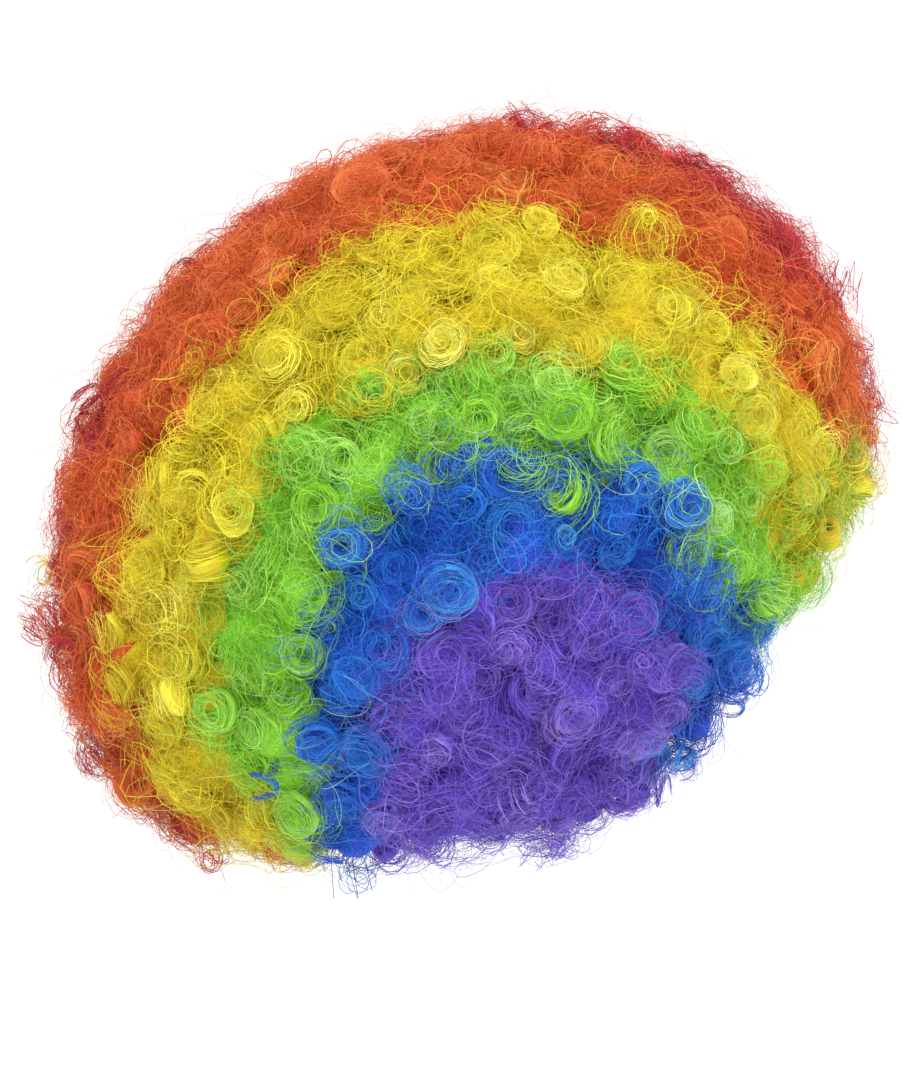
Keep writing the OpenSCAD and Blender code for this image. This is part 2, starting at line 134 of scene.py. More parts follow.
def ring_dir(angle, way):
    """Unit directions at an angle from the left side's ring centre, in a direction round it, in degrees."""
    a, w = np.radians(angle), np.radians(way)
    cx, cz = np.cos(RING_DROP), np.sin(RING_DROP)
    return np.stack([cx * np.cos(a) + cz * np.sin(w) * np.sin(a),
                     -np.cos(w) * np.sin(a),
                     -cz * np.cos(a) + cx * np.sin(w) * np.sin(a)], -1)


def ring_place(d):
    """(angle from the ring centre, direction round it) of unit directions, on whichever side they are."""
    m = np.stack([np.abs(d[..., 0]), d[..., 1], d[..., 2]], -1)
    centre = np.array([np.cos(RING_DROP), 0, -np.sin(RING_DROP)])
    up = np.array([np.sin(RING_DROP), 0, np.cos(RING_DROP)])
    angle = np.degrees(np.arccos(np.clip(m @ centre, -1, 1)))
    way = (np.degrees(np.arctan2(m @ up, -m[..., 1])) + 360 - FIRST_WAY) % 360 + FIRST_WAY
    return angle, way


def in_fringe(angle, way):
    return (way < FRINGE_WAY) & (angle > FRINGE_START)


def has_hair(angle, way):
    """Whether a place on the rings is within the outline of the hair."""
    return (angle < keyed(way, EDGE_LIMIT)) | (in_fringe(angle, way) & (way > keyed(angle, FRINGE_LIMIT)))


def bears_locks(d):
    """Whether locks grow in the directions d, which leaves room for their coils at the cut edges."""
    angle, way = ring_place(d)
    ragged = LOWEST_LOCK - LOWEST_RAGGED * np.sin(d @ RAGGED_WAVE)
    high = BALL[2] + d[..., 2] * tufted_radius(d) > ragged
    room = np.where((way < FRINGE_WAY) & (angle >= FRINGE_START), 0, EDGE_ROOM)
    return high & has_hair(angle + room, way)


def colour_at(angle, way, bleed=0.0):
    """Index into COLOURS at a place on the rings; with bleed, colours spread over the sections' edges."""
    index = np.zeros(np.shape(angle), int)
    for table, shift in zip(LIMITS, BLEED):
        index += angle > keyed(way, table) + bleed * shift
    return np.where(in_fringe(angle, way), np.where(angle < FRINGE_ANGLE, YELLOW, RED), index)


def curl_radius(d):
    """Distance from the ball's middle to the outer surface of the CAD model's curls."""
    side = 1 - d[..., 0] ** 2
    tilt = np.arctan2(d[..., 2], d[..., 1]) + STRETCH_TILT
    low, back = np.maximum(0, -d[..., 2]), np.maximum(0, d[..., 1])
    top = np.maximum(0, 0.94 * d[..., 2] - 0.34 * d[..., 1])
    return (HAIR_RADIUS + HAIR_STRETCH * side ** 2 * np.cos(2 * tilt) - 3 * d[..., 0] ** 2
            + 6 * low ** 3 + 14 * back * low - CROWN_TRIM * top ** 4)


def head_exit(d, off):
    """Distance from the ball's middle to the head form, grown by an offset, along each direction."""
    h = HEAD + np.asarray(off)[..., None]
    lift = BALL[2] - HEAD_MIDDLE
    a = (d ** 2 / h ** 2).sum(-1)
    b = lift * d[..., 2] / h[..., 2] ** 2
    c = lift ** 2 / h[..., 2] ** 2 - 1
    return (-b + np.sqrt(b * b - a * c)) / a


def below_rim(d):
    """Extra room between head and hair below the rim, beside the ears."""
    p = BALL + head_exit(d, ROOT_OFFSET)[..., None] * d
    azimuth = np.degrees(np.arctan2(np.abs(p[..., 0]), -p[..., 1]))
    depth = np.clip((keyed(azimuth, RIM_LINE) + 4 - p[..., 2]) / 12, 0, 1)
    beside = np.clip((azimuth - 35) / 15, 0, 1) * np.clip((145 - azimuth) / 15, 0, 1)
    return EAR_ROOM * depth * beside


def tufted_radius(d):
    """Distance from the ball's middle to the tips of the locks, which gather into tufts."""
    tufts = sum(np.sin(d @ np.array(wave) + turn) for turn, wave in enumerate(TUFT_WAVES))
    return curl_radius(d) - TUFT_DEPTH + np.clip(TUFT_RISE * tufts, -9, 6)


def root_radius(d):
    """Distance from the ball's middle to the innermost hair along each direction."""
    head = head_exit(d, ROOT_OFFSET + below_rim(d))
    level = np.maximum(np.hypot(d[..., 0], d[..., 1]), 1e-3)
    neck = np.where(d[..., 2] < 0, NECK_RADIUS / level, 0)
    drop = d[..., 2] - FRINGE_DROOP * d[..., 1]
    fringe = np.where(drop > 0, FRINGE_HEIGHT / np.maximum(drop, 1e-6), 1e4)
    cheek = FACE_HALF_WIDTH / np.maximum(np.abs(d[..., 0]), 1e-3)
    face = np.where(d[..., 1] < 0, np.minimum(cheek, fringe), 0)
    return np.maximum(np.maximum(head, neck), face)


def section_of(d):
    """The CAD section of curls that each direction belongs to, as one number for colour, part and side."""
    angle, way = ring_place(d)
    colour = colour_at(angle, way)
    halves = np.where(way < MIDDLE_CUT, 0, 2)
    top = np.where(colour == RED, RED_TOP_START, TOP_START)
    thirds = np.where(way < top, 0, np.where(way < TOP_END, 1, 2))
    part = np.select([colour == PURPLE, (colour == BLUE) | (colour == GREEN)], [WHOLE, halves], thirds)
    part = np.where(in_fringe(angle, way) & (angle < FRINGE_ANGLE), FRINGE, part)
    side = np.where(colour == RED, 0, np.where(d[..., 0] > 0, 1, 2))
    return (colour * len(PARTS) + part) * len(SIDES) + side


def section_name(code):
    """The CAD node's name of a section."""
    rest, side = divmod(code, len(SIDES))
    colour, part = divmod(rest, len(PARTS))
    words = ["curls", "" if part == FRINGE else COLOURS[colour], PARTS[part], SIDES[side]]
    return "_".join(word for word in words if word)


# ---------------------------------------------------------------- colour

# Four tones of each colour's dye, from deep to pale, as sRGB values from 0 to 255: the deep ones serve as
# painted shade down in the hair and the pale ones as painted highlight at its surface, and strands also
# differ among them at random
SRGB_TONES_WITH_PAINTED_SHADE = {
    "purple": [(70, 42, 168), (106, 78, 196), (142, 114, 214), (174, 140, 216)],
    "blue": [(16, 48, 172), (10, 92, 198), (28, 126, 216), (84, 168, 228)],
    "green": [(98, 170, 28), (138, 204, 38), (164, 220, 84), (196, 236, 154)],
    "yellow": [(192, 162, 8), (216, 198, 16), (228, 218, 46), (238, 232, 112)],
    "orange": [(186, 58, 20), (210, 88, 28), (224, 116, 44), (232, 148, 82)],
    "red": [(148, 18, 46), (178, 30, 48), (200, 50, 52), (214, 86, 74)],
}


def linear(srgb):
    """Linear colour of sRGB values from 0 to 255."""
    c = np.asarray(srgb, float) / 255
    return np.where(c <= 0.04045, c / 12.92, ((c + 0.055) / 1.055) ** 2.4)


LINEAR_TONES_WITH_PAINTED_SHADE = np.array([[linear(s) for s in SRGB_TONES_WITH_PAINTED_SHADE[c]] for c in COLOURS])


def dye_with_painted_shade(colour, shade):
    """Linear colour of each strand: colour is an index, and shade runs from 0, deep, to 3, pale; low shades
    are painted shade and high ones painted highlight, besides tone that differs at random.
    """
    shade = np.clip(shade, 0, 3)
    low = np.minimum(shade.astype(int), 2)
    part = (shade - low)[..., None]
    return LINEAR_TONES_WITH_PAINTED_SHADE[colour, low] * (1 - part) + LINEAR_TONES_WITH_PAINTED_SHADE[colour, low + 1] * part


def patchy(d, angle, way, colour):
    """Orange reaches over parts of the red band, so that red shows in patches."""
    reach = 3 + 6 * np.sin(d @ np.array([9, 4, 7]) + 1) + 3 * np.sin(d @ np.array([-5, 14, 11]))
    edge = keyed(way, ORANGE_LIMIT)
    return np.where((colour == RED) & (angle > 60) & (angle < edge + reach) & (way > 60), ORANGE, colour)


def strand_colours(d, spread=1.6, stray=0.05):
    """Colour index of strands that grow at directions d, mixed across the edges of the rings."""
    angle, way = ring_place(d)
    n = len(d)
    angle = angle + rng.normal(0, spread, n) + np.where(rng.random(n) < stray, rng.normal(0, 5, n), 0)
    way = way + rng.normal(0, 1.5, n)
    return patchy(d, angle, way, colour_at(np.maximum(angle, 0), way, 1))


def lime(d, colour):
    """Green fibres among the yellow ones beside the face."""
    angle, way = ring_place(d)
    share = 0.45 * np.clip((34 - way) / 12, 0, 1) * (angle < 76)
    return np.where((colour == YELLOW) & (rng.random(len(d)) < share), GREEN, colour)


# ---------------------------------------------------------------- materials

class Look:
    """A material made of procedural nodes. Inputs take values or other nodes' outputs."""

    def __init__(self, name, roughness=0.5):
        self.material = bpy.data.materials.new(name)
        self.material.use_nodes = True
        self.tree = self.material.node_tree
        self.shade({"Roughness": roughness})

    def fill(self, node, inputs):
        for key, value in inputs.items():
            if isinstance(value, bpy.types.NodeSocket):
                self.tree.links.new(value, node.inputs[key])
            else:
                node.inputs[key].default_value = value

    def shade(self, inputs):
        """Fill inputs of the shader and return the material."""
        self.fill(self.tree.nodes["Principled BSDF"], inputs)
        return self.material

    def add(self, kind, inputs, output=0, **settings):
        """Add a node and return one of its outputs."""
        node = self.tree.nodes.new("ShaderNode" + kind)
        for key, value in settings.items():
            setattr(node, key, value)
        self.fill(node, inputs)
        return node.outputs[output]

    def place(self):
        return self.add("TexCoord", {}, "Object")

    def noise(self, scale, detail=2, vector=None, roughness=0.5):
        return self.add("TexNoise", {"Scale": scale, "Detail": detail, "Roughness": roughness,
                                     "Vector": vector or self.place()}, "Fac")

    def waves(self, scale, distortion, vector, detail=2, detail_scale=1, **settings):
        return self.add("TexWave", {"Scale": scale, "Distortion": distortion, "Detail": detail,
                                    "Detail Scale": detail_scale, "Vector": vector}, "Fac", **settings)

    def spread(self, factor, low, high):
        """A noise value spread between two limits."""
        return self.add("MapRange", {"Value": factor, "From Min": 0.3, "From Max": 0.7, "To Min": low,
                                     "To Max": high})

    def tinted(self, fade):
        """The tint that a mesh carries, times a factor."""
        tint = self.add("Attribute", {}, "Color", attribute_name="tint")
        return self.add("VectorMath", {0: tint, "Scale": fade}, operation="SCALE")

    def ramp(self, factor, low, high, start=0.3, stop=0.7):
        """Linear colours from low to high between two values of the factor."""
        colour = self.add("ValToRGB", {"Fac": factor})
        for element, at, value in zip(colour.node.color_ramp.elements, (start, stop), (low, high)):
            element.position = at
            element.color = (*value, 1)
        return colour

    def bump(self, height, strength, distance):
        return self.add("Bump", {"Height": height, "Strength": strength, "Distance": distance})


def fibre_material(name, roughness):
    """Dyed fibre: the tint of each strand, which carries painted shade and highlight, uneven along it."""
    look = Look(name)
    uneven = look.noise(260)
    return look.shade({"Base Color": look.tinted(look.spread(uneven, 0.9, 1.1)),
                       "Roughness": look.spread(uneven, roughness - 0.1, roughness + 0.1),
                       "Specular IOR Level": 0.35})


def combed_material():
    """Fibres lying side by side along a coil."""
    look = Look("combed_fibre")
    comb = look.add("UVMap", {}, uv_map="comb")
    streak = look.noise(1, 5, comb, 0.65)
    return look.shade({"Base Color": look.tinted(look.spread(streak, 0.4, 1.45)),
                       "Roughness": look.spread(streak, 0.7, 0.5), "Normal": look.bump(streak, 0.8, 0.0008)})


def bed_material(index):
    """Tangled fibre: streaks of the ring's deep and middle dyes, the deep one darkened further, as painted
    shade down between the locks.
    """
    look = Look("felted_" + COLOURS[index], 0.85)
    rings = look.waves(160, 14, look.place(), 3, 2, wave_type="RINGS")
    both = look.add("Mix", {0: 0.5, 2: look.noise(90), 3: rings}, data_type="FLOAT")
    return look.shade({"Base Color": look.ramp(both, LINEAR_TONES_WITH_PAINTED_SHADE[index, 0] * 0.9, LINEAR_TONES_WITH_PAINTED_SHADE[index, 1], 0.25, 0.8)})


def woven(name, low, high, pitch, roughness=0.8, strength=0.6):
    """Woven tape: threads both ways at a pitch in mm, on the map called weave."""
    look = Look(name, roughness)
    weave = look.add("UVMap", {}, uv_map="weave")
    warp, weft = [look.waves(np.pi / 10 / pitch, 0.6, weave, bands_direction=way) for way in "XY"]
    both = look.add("Math", {0: warp, 1: weft}, operation="MULTIPLY")
    return look.shade({"Base Color": look.ramp(both, linear(low), linear(high), 0.0, 0.6),
                       "Normal": look.bump(both, strength, 0.0003)})


def felt(name, low, high):
    """Short fuzzy fibre pressed flat."""
    look = Look(name, 0.95)
    fuzz = look.noise(1400, 6)
    return look.shade({"Base Color": look.ramp(fuzz, linear(low), linear(high)),
                       "Normal": look.bump(fuzz, 0.7, 0.0004)})


def moulded(name, low, high):
    """Injection-moulded plastic with a fine grain."""
    look = Look(name, 0.38)
    grain = look.noise(900, 3)
    return look.shade({"Base Color": look.ramp(grain, linear(low), linear(high), 0.2, 0.8),
                       "Normal": look.bump(grain, 0.25, 0.0002), "Coat Weight": 0.1})


def stitched(name, index):
    """A weft track: the ring's fibres laid side by side and held by rows of stitches."""
    look = Look(name, 0.6)
    strand = look.waves(420, 5, look.place(), bands_direction="DIAGONAL")
    return look.shade({"Base Color": look.ramp(strand, LINEAR_TONES_WITH_PAINTED_SHADE[index, 0] * 0.6, LINEAR_TONES_WITH_PAINTED_SHADE[index, 2], 0, 1),
                       "Normal": look.bump(strand, 0.8, 0.0005)})


# ---------------------------------------------------------------- meshes

def new_object(name, data):
    obj = bpy.data.objects.new(name, data)
    bpy.context.scene.collection.objects.link(obj)
    return obj


def dress(piece, material, body, nodes):
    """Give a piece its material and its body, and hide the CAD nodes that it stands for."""
    piece.data.materials.append(material)
    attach(piece, body)
    if nodes:
        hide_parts(*nodes)
    return piece


def add_tints(mesh, tints):
    attribute = mesh.color_attributes.new("tint", "FLOAT_COLOR", "POINT")
    attribute.data.foreach_set("color", np.c_[tints, np.ones(len(tints))].astype(np.float32).ravel())


def add_map(mesh, name, uv):
    mesh.uv_layers.new(name=name).data.foreach_set("uv", uv.astype(np.float32).ravel())


def strand_maps(n, first, grid, s, sides):
    """UV corners of the faces along n strands, then of their ends, in a cell of a grid for each strand."""
    cell = first + np.arange(n)
    along = (cell % grid)[:, None, None] + (0.1 + 0.8 * s)[None, :, None]
    across = (cell // grid)[:, None, None] + (0.15 + 0.7 * np.arange(sides + 1) / sides)[None, None, :]
    at = np.stack(np.broadcast_arrays(along, across), -1) / grid
    faces = np.stack([at[:, :-1, :-1], at[:, :-1, 1:], at[:, 1:, 1:], at[:, 1:, :-1]], 3)
    end_v = (cell // grid)[:, None] + 0.2 + 0.6 * np.arange(sides) / sides
    ends = [np.stack([(cell % grid)[:, None] + share + 0 * end_v, end_v], -1) / grid for share in (0.1, 0.9)]
    return faces.reshape(-1, 2), np.concatenate(ends).reshape(-1, 2)


def tube_mesh(name, batches, sides=3):
    """One mesh of thin tubes, with a colour for each point and a cell of the UV map for each strand.

    Each batch holds the strands' centre lines, radii, colours at the root and at the tip, and a normal.
    """
    verts, quads, ends, tints, uvs, end_uvs = [], [], [], [], [], []
    grid = int(np.ceil(np.sqrt(sum(len(batch[0]) for batch in batches))))
    base, strand = 0, 0
    for paths, radius, tint_root, tint_tip, up in batches:
        n, p, _ = paths.shape
        tangent = unit(np.gradient(paths, axis=1))
        across = unit(np.cross(tangent, up[:, None, :] + 0.001))
        other = np.cross(tangent, across)
        s = np.linspace(0, 1, p)
        thin = radius[:, None] * (1 - 0.65 * np.clip((s - 0.8) / 0.2, 0, 1))[None, :]
        turn = 2 * np.pi * np.arange(sides) / sides
        ring = (across[:, :, None, :] * np.cos(turn)[None, None, :, None]
                + other[:, :, None, :] * np.sin(turn)[None, None, :, None])
        verts.append((paths[:, :, None, :] + ring * thin[:, :, None, None]).reshape(-1, 3))
        # Colour runs from the root's to the tip's; on the locks that is painted shade deep in the hair
        # lightening to painted highlight at the surface
        share = (s ** 1.5)[None, :, None]
        tint = tint_root[:, None, :] * (1 - share) + tint_tip[:, None, :] * share
        tints.append(np.repeat(tint[:, :, None, :], sides, 2).reshape(-1, 3))
        index = base + np.arange(n * p * sides).reshape(n, p, sides)
        here, after = index[:, :-1, :], index[:, 1:, :]
        quads.append(np.stack([here, np.roll(here, -1, 2), np.roll(after, -1, 2), after], -1).reshape(-1, 4))
        ends.append(np.concatenate([index[:, 0, ::-1], index[:, -1, :]]))
        face_map, end_map = strand_maps(n, strand, grid, s, sides)
        uvs.append(face_map)
        end_uvs.append(end_map)
        base += n * p * sides
        strand += n
    verts, quads, ends = np.concatenate(verts) * MM, np.concatenate(quads), np.concatenate(ends)
    mesh = bpy.data.meshes.new(name)
    mesh.vertices.add(len(verts))
    mesh.vertices.foreach_set("co", verts.astype(np.float32).ravel())
    mesh.loops.add(quads.size + ends.size)
    mesh.loops.foreach_set("vertex_index", np.r_[quads.ravel(), ends.ravel()].astype(np.int32))
    mesh.polygons.add(len(quads) + len(ends))
    starts = np.r_[np.arange(0, quads.size, 4), quads.size + np.arange(0, ends.size, sides)]
    mesh.polygons.foreach_set("loop_start", starts.astype(np.int32))
    mesh.update(calc_edges=True)
    mesh.shade_smooth()
    add_tints(mesh, np.concatenate(tints))
    add_map(mesh, "OFBake", np.concatenate(uvs + end_uvs))
    return mesh


def tidy_normals(mesh):
    bm = bmesh.new()
    bm.from_mesh(mesh)
    bmesh.ops.recalc_face_normals(bm, faces=bm.faces)
    bm.to_mesh(mesh)
    bm.free()


# ---------------------------------------------------------------- kinds of strand

def basis(n):
    """Two unit vectors across each of the unit vectors n."""
    ref = np.where(np.abs(n[..., 2:3]) < 0.9, [0.0, 0.0, 1.0], [1.0, 0.0, 0.0])
    e1 = unit(np.cross(n, ref))
    return e1, np.cross(n, e1)


def spread_directions(count):
    """Even directions over a whole sphere, a little shaken."""
    k = np.arange(count) + 0.5
    z = 1 - 2 * k / count
    turn = k * np.pi * (3 - np.sqrt(5))
    r = np.sqrt(1 - z * z)
    d = np.stack([r * np.cos(turn), r * np.sin(turn), z], -1)
    return unit(d + rng.normal(0, 0.35 / np.sqrt(count), d.shape))


def random_directions(count):
    return unit(rng.normal(0, 1, (count, 3)))


def ringlets(at, normal, fibres, points, radius, depth, tidy, turns=(2.2, 3.0)):
    """Fibres of coiled locks that end at the points at, coiled about normals that lean at random.

    radius, depth and tidy hold a value for each lock. Returns centre lines, each one's lock and its axis.
    """
    n = len(at)
    lean = unit(normal + rng.normal(0, 0.24, (n, 3)))
    hand = np.where(rng.random(n) < 0.5, -1.0, 1.0)
    phase = rng.uniform(0, 2 * np.pi, n)
    wind = rng.uniform(*turns, n)
    lock = np.repeat(np.arange(n), fibres)
    m = len(lock)
    loose = (1 - tidy)[lock]
    axis = unit(lean[lock] + rng.normal(0, 1, (m, 3)) * (0.06 + 0.34 * loose)[:, None])
    e1, e2 = basis(axis)
    inward = rng.random(m) ** 1.6
    size = np.clip(radius[lock] * (1 - inward * (0.62 - 0.1 * loose)), 3.0, None)
    s = np.linspace(0, 1, points)[None, :]
    shift = rng.normal(0, 1, (m, 3)) * (0.4 + 2.8 * loose)[:, None]
    start = phase[lock] + rng.uniform(-np.pi, np.pi, m) * (0.35 + 0.65 * loose)
    theta = start[:, None] + hand[lock][:, None] * 2 * np.pi * wind[lock][:, None] * s
    close = rng.uniform(0.55, 1.0, n)[lock][:, None]
    swell = 0.8 + 0.2 * np.sin(np.pi * np.clip(s * 1.2, 0, 1))
    profile = swell - (1 - close) * np.clip((s - 0.5) / 0.5, 0, 1) ** 1.5
    wobble = 1 + 0.06 * np.sin(theta * 1.37 + rng.uniform(0, 6, (m, 1)))
    oval = 1 + rng.normal(0, 0.05, (m, 1)) * (1 + 2 * loose[:, None])
    along = rng.normal(0, 1, (m, 1)) * (0.8 + 1.8 * loose[:, None]) - depth[lock][:, None] * (1 - s) ** 1.9
    r = size[:, None] * profile * wobble
    centre = at[lock][:, None, :] + shift[:, None, :] + rays(axis, along)
    paths = centre + rays(e1, r * np.cos(theta) * oval) + rays(e2, r * np.sin(theta) / oval)
    return paths, lock, axis, lean


def crimped(d, depth, points, step, reach=0):
    """Loose crimped strands that wander over the surface at a depth below it, and may reach out of it."""
    n = len(d)
    e1, e2 = basis(d)
    s = np.linspace(0, 1, points)[None, :]
    bend = rng.uniform(1 / 26, 1 / 7, (n, 1)) * np.where(rng.random((n, 1)) < 0.5, -1, 1)
    sway = rng.uniform(1 / 20, 1 / 9, (n, 1))
    wave = rng.uniform(0.7, 2.6, (n, 1))
    kappa = bend + sway * np.sin(2 * np.pi * (wave * s + rng.random((n, 1))))
    heading = rng.uniform(0, 2 * np.pi, (n, 1)) + np.cumsum(kappa * step, 1)
    x = np.cumsum(np.cos(heading) * step, 1)
    y = np.cumsum(np.sin(heading) * step, 1)
    x, y = x - x.mean(1, keepdims=True), y - y.mean(1, keepdims=True)
    deep = depth[:, None] + rng.uniform(1, 7, (n, 1)) * np.sin(2 * np.pi * (rng.uniform(0.4, 1.4, (n, 1)) * s
                                                                        + rng.random((n, 1))))
    deep = deep - np.reshape(reach, (-1, 1)) * np.clip(s - 0.3, 0, 1)
    aside = rays(e1, x) + rays(e2, y)
    way = unit(d[:, None, :] + aside / tufted_radius(d)[:, None, None])
    return BALL + way * (tufted_radius(way) - deep)[..., None]


# ---------------------------------------------------------------- the hair

# How many directions over the whole ball locks and loose fibres are tried at
LOCKS = 960
STRAY_LOCKS = 420
FRIZZ = 18200
INNER_FRIZZ = 9000
FLYAWAYS = 3600
# Locks at the cut edges and on the inside: least distance, tries, and how near an edge is, as an angle
EDGE_STEP, EDGE_TRIES, EDGE_REACH = 15.5, 40000, 0.07
INNER_STEP, INNER_TRIES, INNER_DEPTH = 14.0, 16000, 16.0
MAX_STRAND_FACES = 180000
# Radii of the fibres
LOCK_STRAND, STRAY_STRAND, ROPE_STRAND, EDGE_STRAND = 0.13, 0.15, 0.15, 0.16
FRIZZ_STRAND, FLYAWAY_STRAND = 0.105, 0.085

# Rope-like curls at listed places: angle from the rings' middle, direction round it, and colour
ROPE_PLACES = [(35, -34, PURPLE), (34, -26, PURPLE), (36, -48, PURPLE), (36, -8, BLUE), (39, 206, BLUE),
               (38, 225, BLUE), (101, 62, RED), (104, 70, RED), (106, 78, RED), (98, 55, RED),
               (112, 150, RED), (96, 172, RED), (88, 190, RED), (84, 200, RED)]
ROPE_FIBRES, ROPE_POINTS = 12, 46

# Section through a nest of coils as shares of its radius and depth, and the painted shade at each point:
# darker down the funnel and the outer wall, palest at the rim as a painted highlight
NEST_SECTION = np.array([(0.22, -1.0), (0.42, -0.66), (0.66, -0.34), (0.86, -0.1), (0.96, 0), (1.0, -0.14),
                         (0.97, -0.45), (0.85, -0.85), (0.6, -1.15), (0.28, -1.2)])
NEST_PAINTED_SHADE = np.array([-1.4, -0.8, -0.4, -0.1, 0.05, -0.1, -0.5, -0.9, -1.3, -1.5])
NEST_AROUND = 18
COMB_FINENESS = 1.25

pieces = {}
nests = {}


def put(section, paths, radius, root, tip, up):
    """Keep strands for the mesh of the section that each belongs to."""
    for code in np.unique(section):
        pick = section == code
        pieces.setdefault(int(code), []).append((paths[pick], radius[pick], root[pick], tip[pick], up[pick]))


def put_nests(section, *values):
    """Keep nests of coils in the same way."""
    for code in np.unique(section):
        nests.setdefault(int(code), []).append(tuple(v[section == code] for v in values))


def strand_radius(thick, count):
    """Mostly fine strands, with a few that are several fibres clinging together."""
    clump = np.where(rng.random(count) < 0.12, 1.9, 1.0)
    return thick * clump * rng.uniform(0.75, 1.25, count)


def grow_locks(at, normal, d, tidy, size, deep, fibres, points, thick, bodies=0.0):
    """Coiled locks whose ends are at the points at; d gives the place on the rings that colours them.

    Locks tidier than bodies get a nest of combed coils inside them, if bodies is above zero.
    """
    n = len(at)
    radius, depth = rng.uniform(*size, n), rng.uniform(*deep, n)
    paths, lock, axis, lean = ringlets(at, normal, fibres, points, radius, depth, tidy)
    m = len(paths)
    colour = strand_colours(d, 1.4, 0.03)
    own = strand_colours(d[lock], 2.5, 0.12)
    mixed = lime(d[lock], np.where(rng.random(m) < 0.22, own, colour[lock]))
    # Tidier locks get paler tones, a painted highlight on their coils. Each fibre's root, deep in the lock,
    # is made darker as painted shade, and its tip at the surface paler as painted highlight.
    pale = rng.normal(1.35, 0.45, n) + 1.2 * (tidy - 0.4)
    tip = dye_with_painted_shade(mixed, pale[lock] + rng.normal(0.25, 0.4, m))
    root = dye_with_painted_shade(mixed, pale[lock] + rng.normal(-0.55, 0.35, m)) * 0.95
    put(section_of(d)[lock], paths, strand_radius(thick, m), root, tip, axis)
    if bodies:
        k = tidy > bodies
        middle = at[k] - lean[k] * (3 + 4 * (1 - tidy[k]) + rng.uniform(0, 2, k.sum()))[:, None]
        put_nests(section_of(d)[k], middle, lean[k], radius[k] * rng.uniform(0.6, 0.88, k.sum()),
                  rng.uniform(5, 9, k.sum()), pale[k] - 0.15, colour[k])


def outer_locks():
    """The main locks, evenly over the ball; the purple and orange ones are frizzier."""
    d = spread_directions(LOCKS)
    d = d[bears_locks(d)]
    ring = colour_at(*ring_place(d))
    frizzy = (ring == PURPLE) | (ring == ORANGE)
    tidy = np.clip(rng.beta(2.0, 1.3, len(d)) - 0.1 * frizzy, 0.03, 0.98)
    at = BALL + d * (tufted_radius(d) - 2 - rng.uniform(0, 9, len(d)) * (1 - 0.6 * tidy))[:, None]
    grow_locks(at, d, d, tidy, size=(9.5, 16.0), deep=(18, 32), fibres=16, points=28, thick=LOCK_STRAND,
               bodies=0.3)


def stray_locks():
    """Smaller, looser locks between the main ones, some of them standing out."""
    d = random_directions(STRAY_LOCKS)
    d = d[bears_locks(d)]
    tidy = rng.uniform(0.1, 0.9, len(d))
    at = BALL + d * (tufted_radius(d) - rng.uniform(-5, 8, len(d)))[:, None]
    normal = unit(d + rng.normal(0, 0.6, d.shape))
    grow_locks(at, normal, d, tidy, size=(5.5, 10.0), deep=(10, 26), fibres=7, points=30, thick=STRAY_STRAND)


def spaced(points, step):
    """Indices of points that are at least a step from each other."""
    kept = [0]
    for k in range(1, len(points)):
        if ((points[kept] - points[k]) ** 2).sum(1).min() > step ** 2:
            kept.append(k)
    return kept


def edge_locks():
    """Locks on the cut edges of the hair, round the face, the neck and the fringe."""
    d = random_directions(EDGE_TRIES)
    d = d[has_hair(*ring_place(d))]
    e1, e2 = basis(d)
    turn = np.radians(np.arange(0, 360, 30))[None, :, None]
    near = unit(d[:, None, :] + EDGE_REACH * (e1[:, None, :] * np.cos(turn) + e2[:, None, :] * np.sin(turn)))
    bare = ~has_hair(*ring_place(near))
    out = unit(((near - d[:, None, :]) * bare[..., None]).sum(1))
    low, high = root_radius(d) + 7, tufted_radius(d) - 10
    edge = bare.any(1) & (high > low)
    d, out, low, high = d[edge], out[edge], low[edge], high[edge]
    at = BALL + d * rng.uniform(low, high)[:, None] - out * 3
    keep = at[:, 2] > LOWEST_LOCK
    d, out, at = d[keep], out[keep], at[keep]
    keep = spaced(at, EDGE_STEP)
    d, out, at = d[keep], out[keep], at[keep]
    grow_locks(at, out, unit(d - 0.05 * out), rng.uniform(0.05, 0.9, len(at)), size=(8.5, 13.5),
               deep=(12, 22), fibres=11, points=25, thick=EDGE_STRAND, bodies=0.3)


def faces_head(d, room, depth):
    """Whether the hair in the directions d hangs clear of the head by some room and is deeper than depth."""
    gap = root_radius(d) - head_exit(d, np.full(len(d), ROOT_OFFSET))
    return (gap > room) & (tufted_radius(d) - root_radius(d) > depth) & bears_locks(d)


def inner_locks():
    """Locks on the inside of the hair, facing the neck and the cheeks, and under the fringe."""
    d = random_directions(INNER_TRIES)
    d = d[faces_head(d, 5, INNER_DEPTH)]
    face = BALL + d * root_radius(d)[:, None]
    kept = spaced(face, INNER_STEP)
    d, face = d[kept], face[kept]
    sides = []
    for e in basis(d):
        near = unit(d + 0.02 * e)
        sides.append(near * root_radius(near)[:, None] - d * root_radius(d)[:, None])
    normal = unit(np.cross(*sides))
    normal = normal * -np.sign((normal * d).sum(1, keepdims=True))
    at = face + normal * 1.5
    grow_locks(at, normal, d, rng.uniform(0.05, 0.9, len(at)), size=(8.5, 13.0), deep=(8, 14),
               fibres=8, points=22, thick=EDGE_STRAND, bodies=0.2)


def inner_frizz():
    """Loose fibres over the felted hair that faces the neck and the cheeks."""
    d = random_directions(INNER_FRIZZ)
    d = d[faces_head(d, 4, INNER_DEPTH)]
    n = len(d)
    depth = tufted_radius(d) - root_radius(d) - rng.uniform(2, 11, n)
    colour = strand_colours(d, 2.2, 0.1)
    pale = rng.normal(1.2, 0.55, n)
    put_loose(d, crimped(d, depth, 11, 5.0), strand_radius(EDGE_STRAND, n), colour, pale)


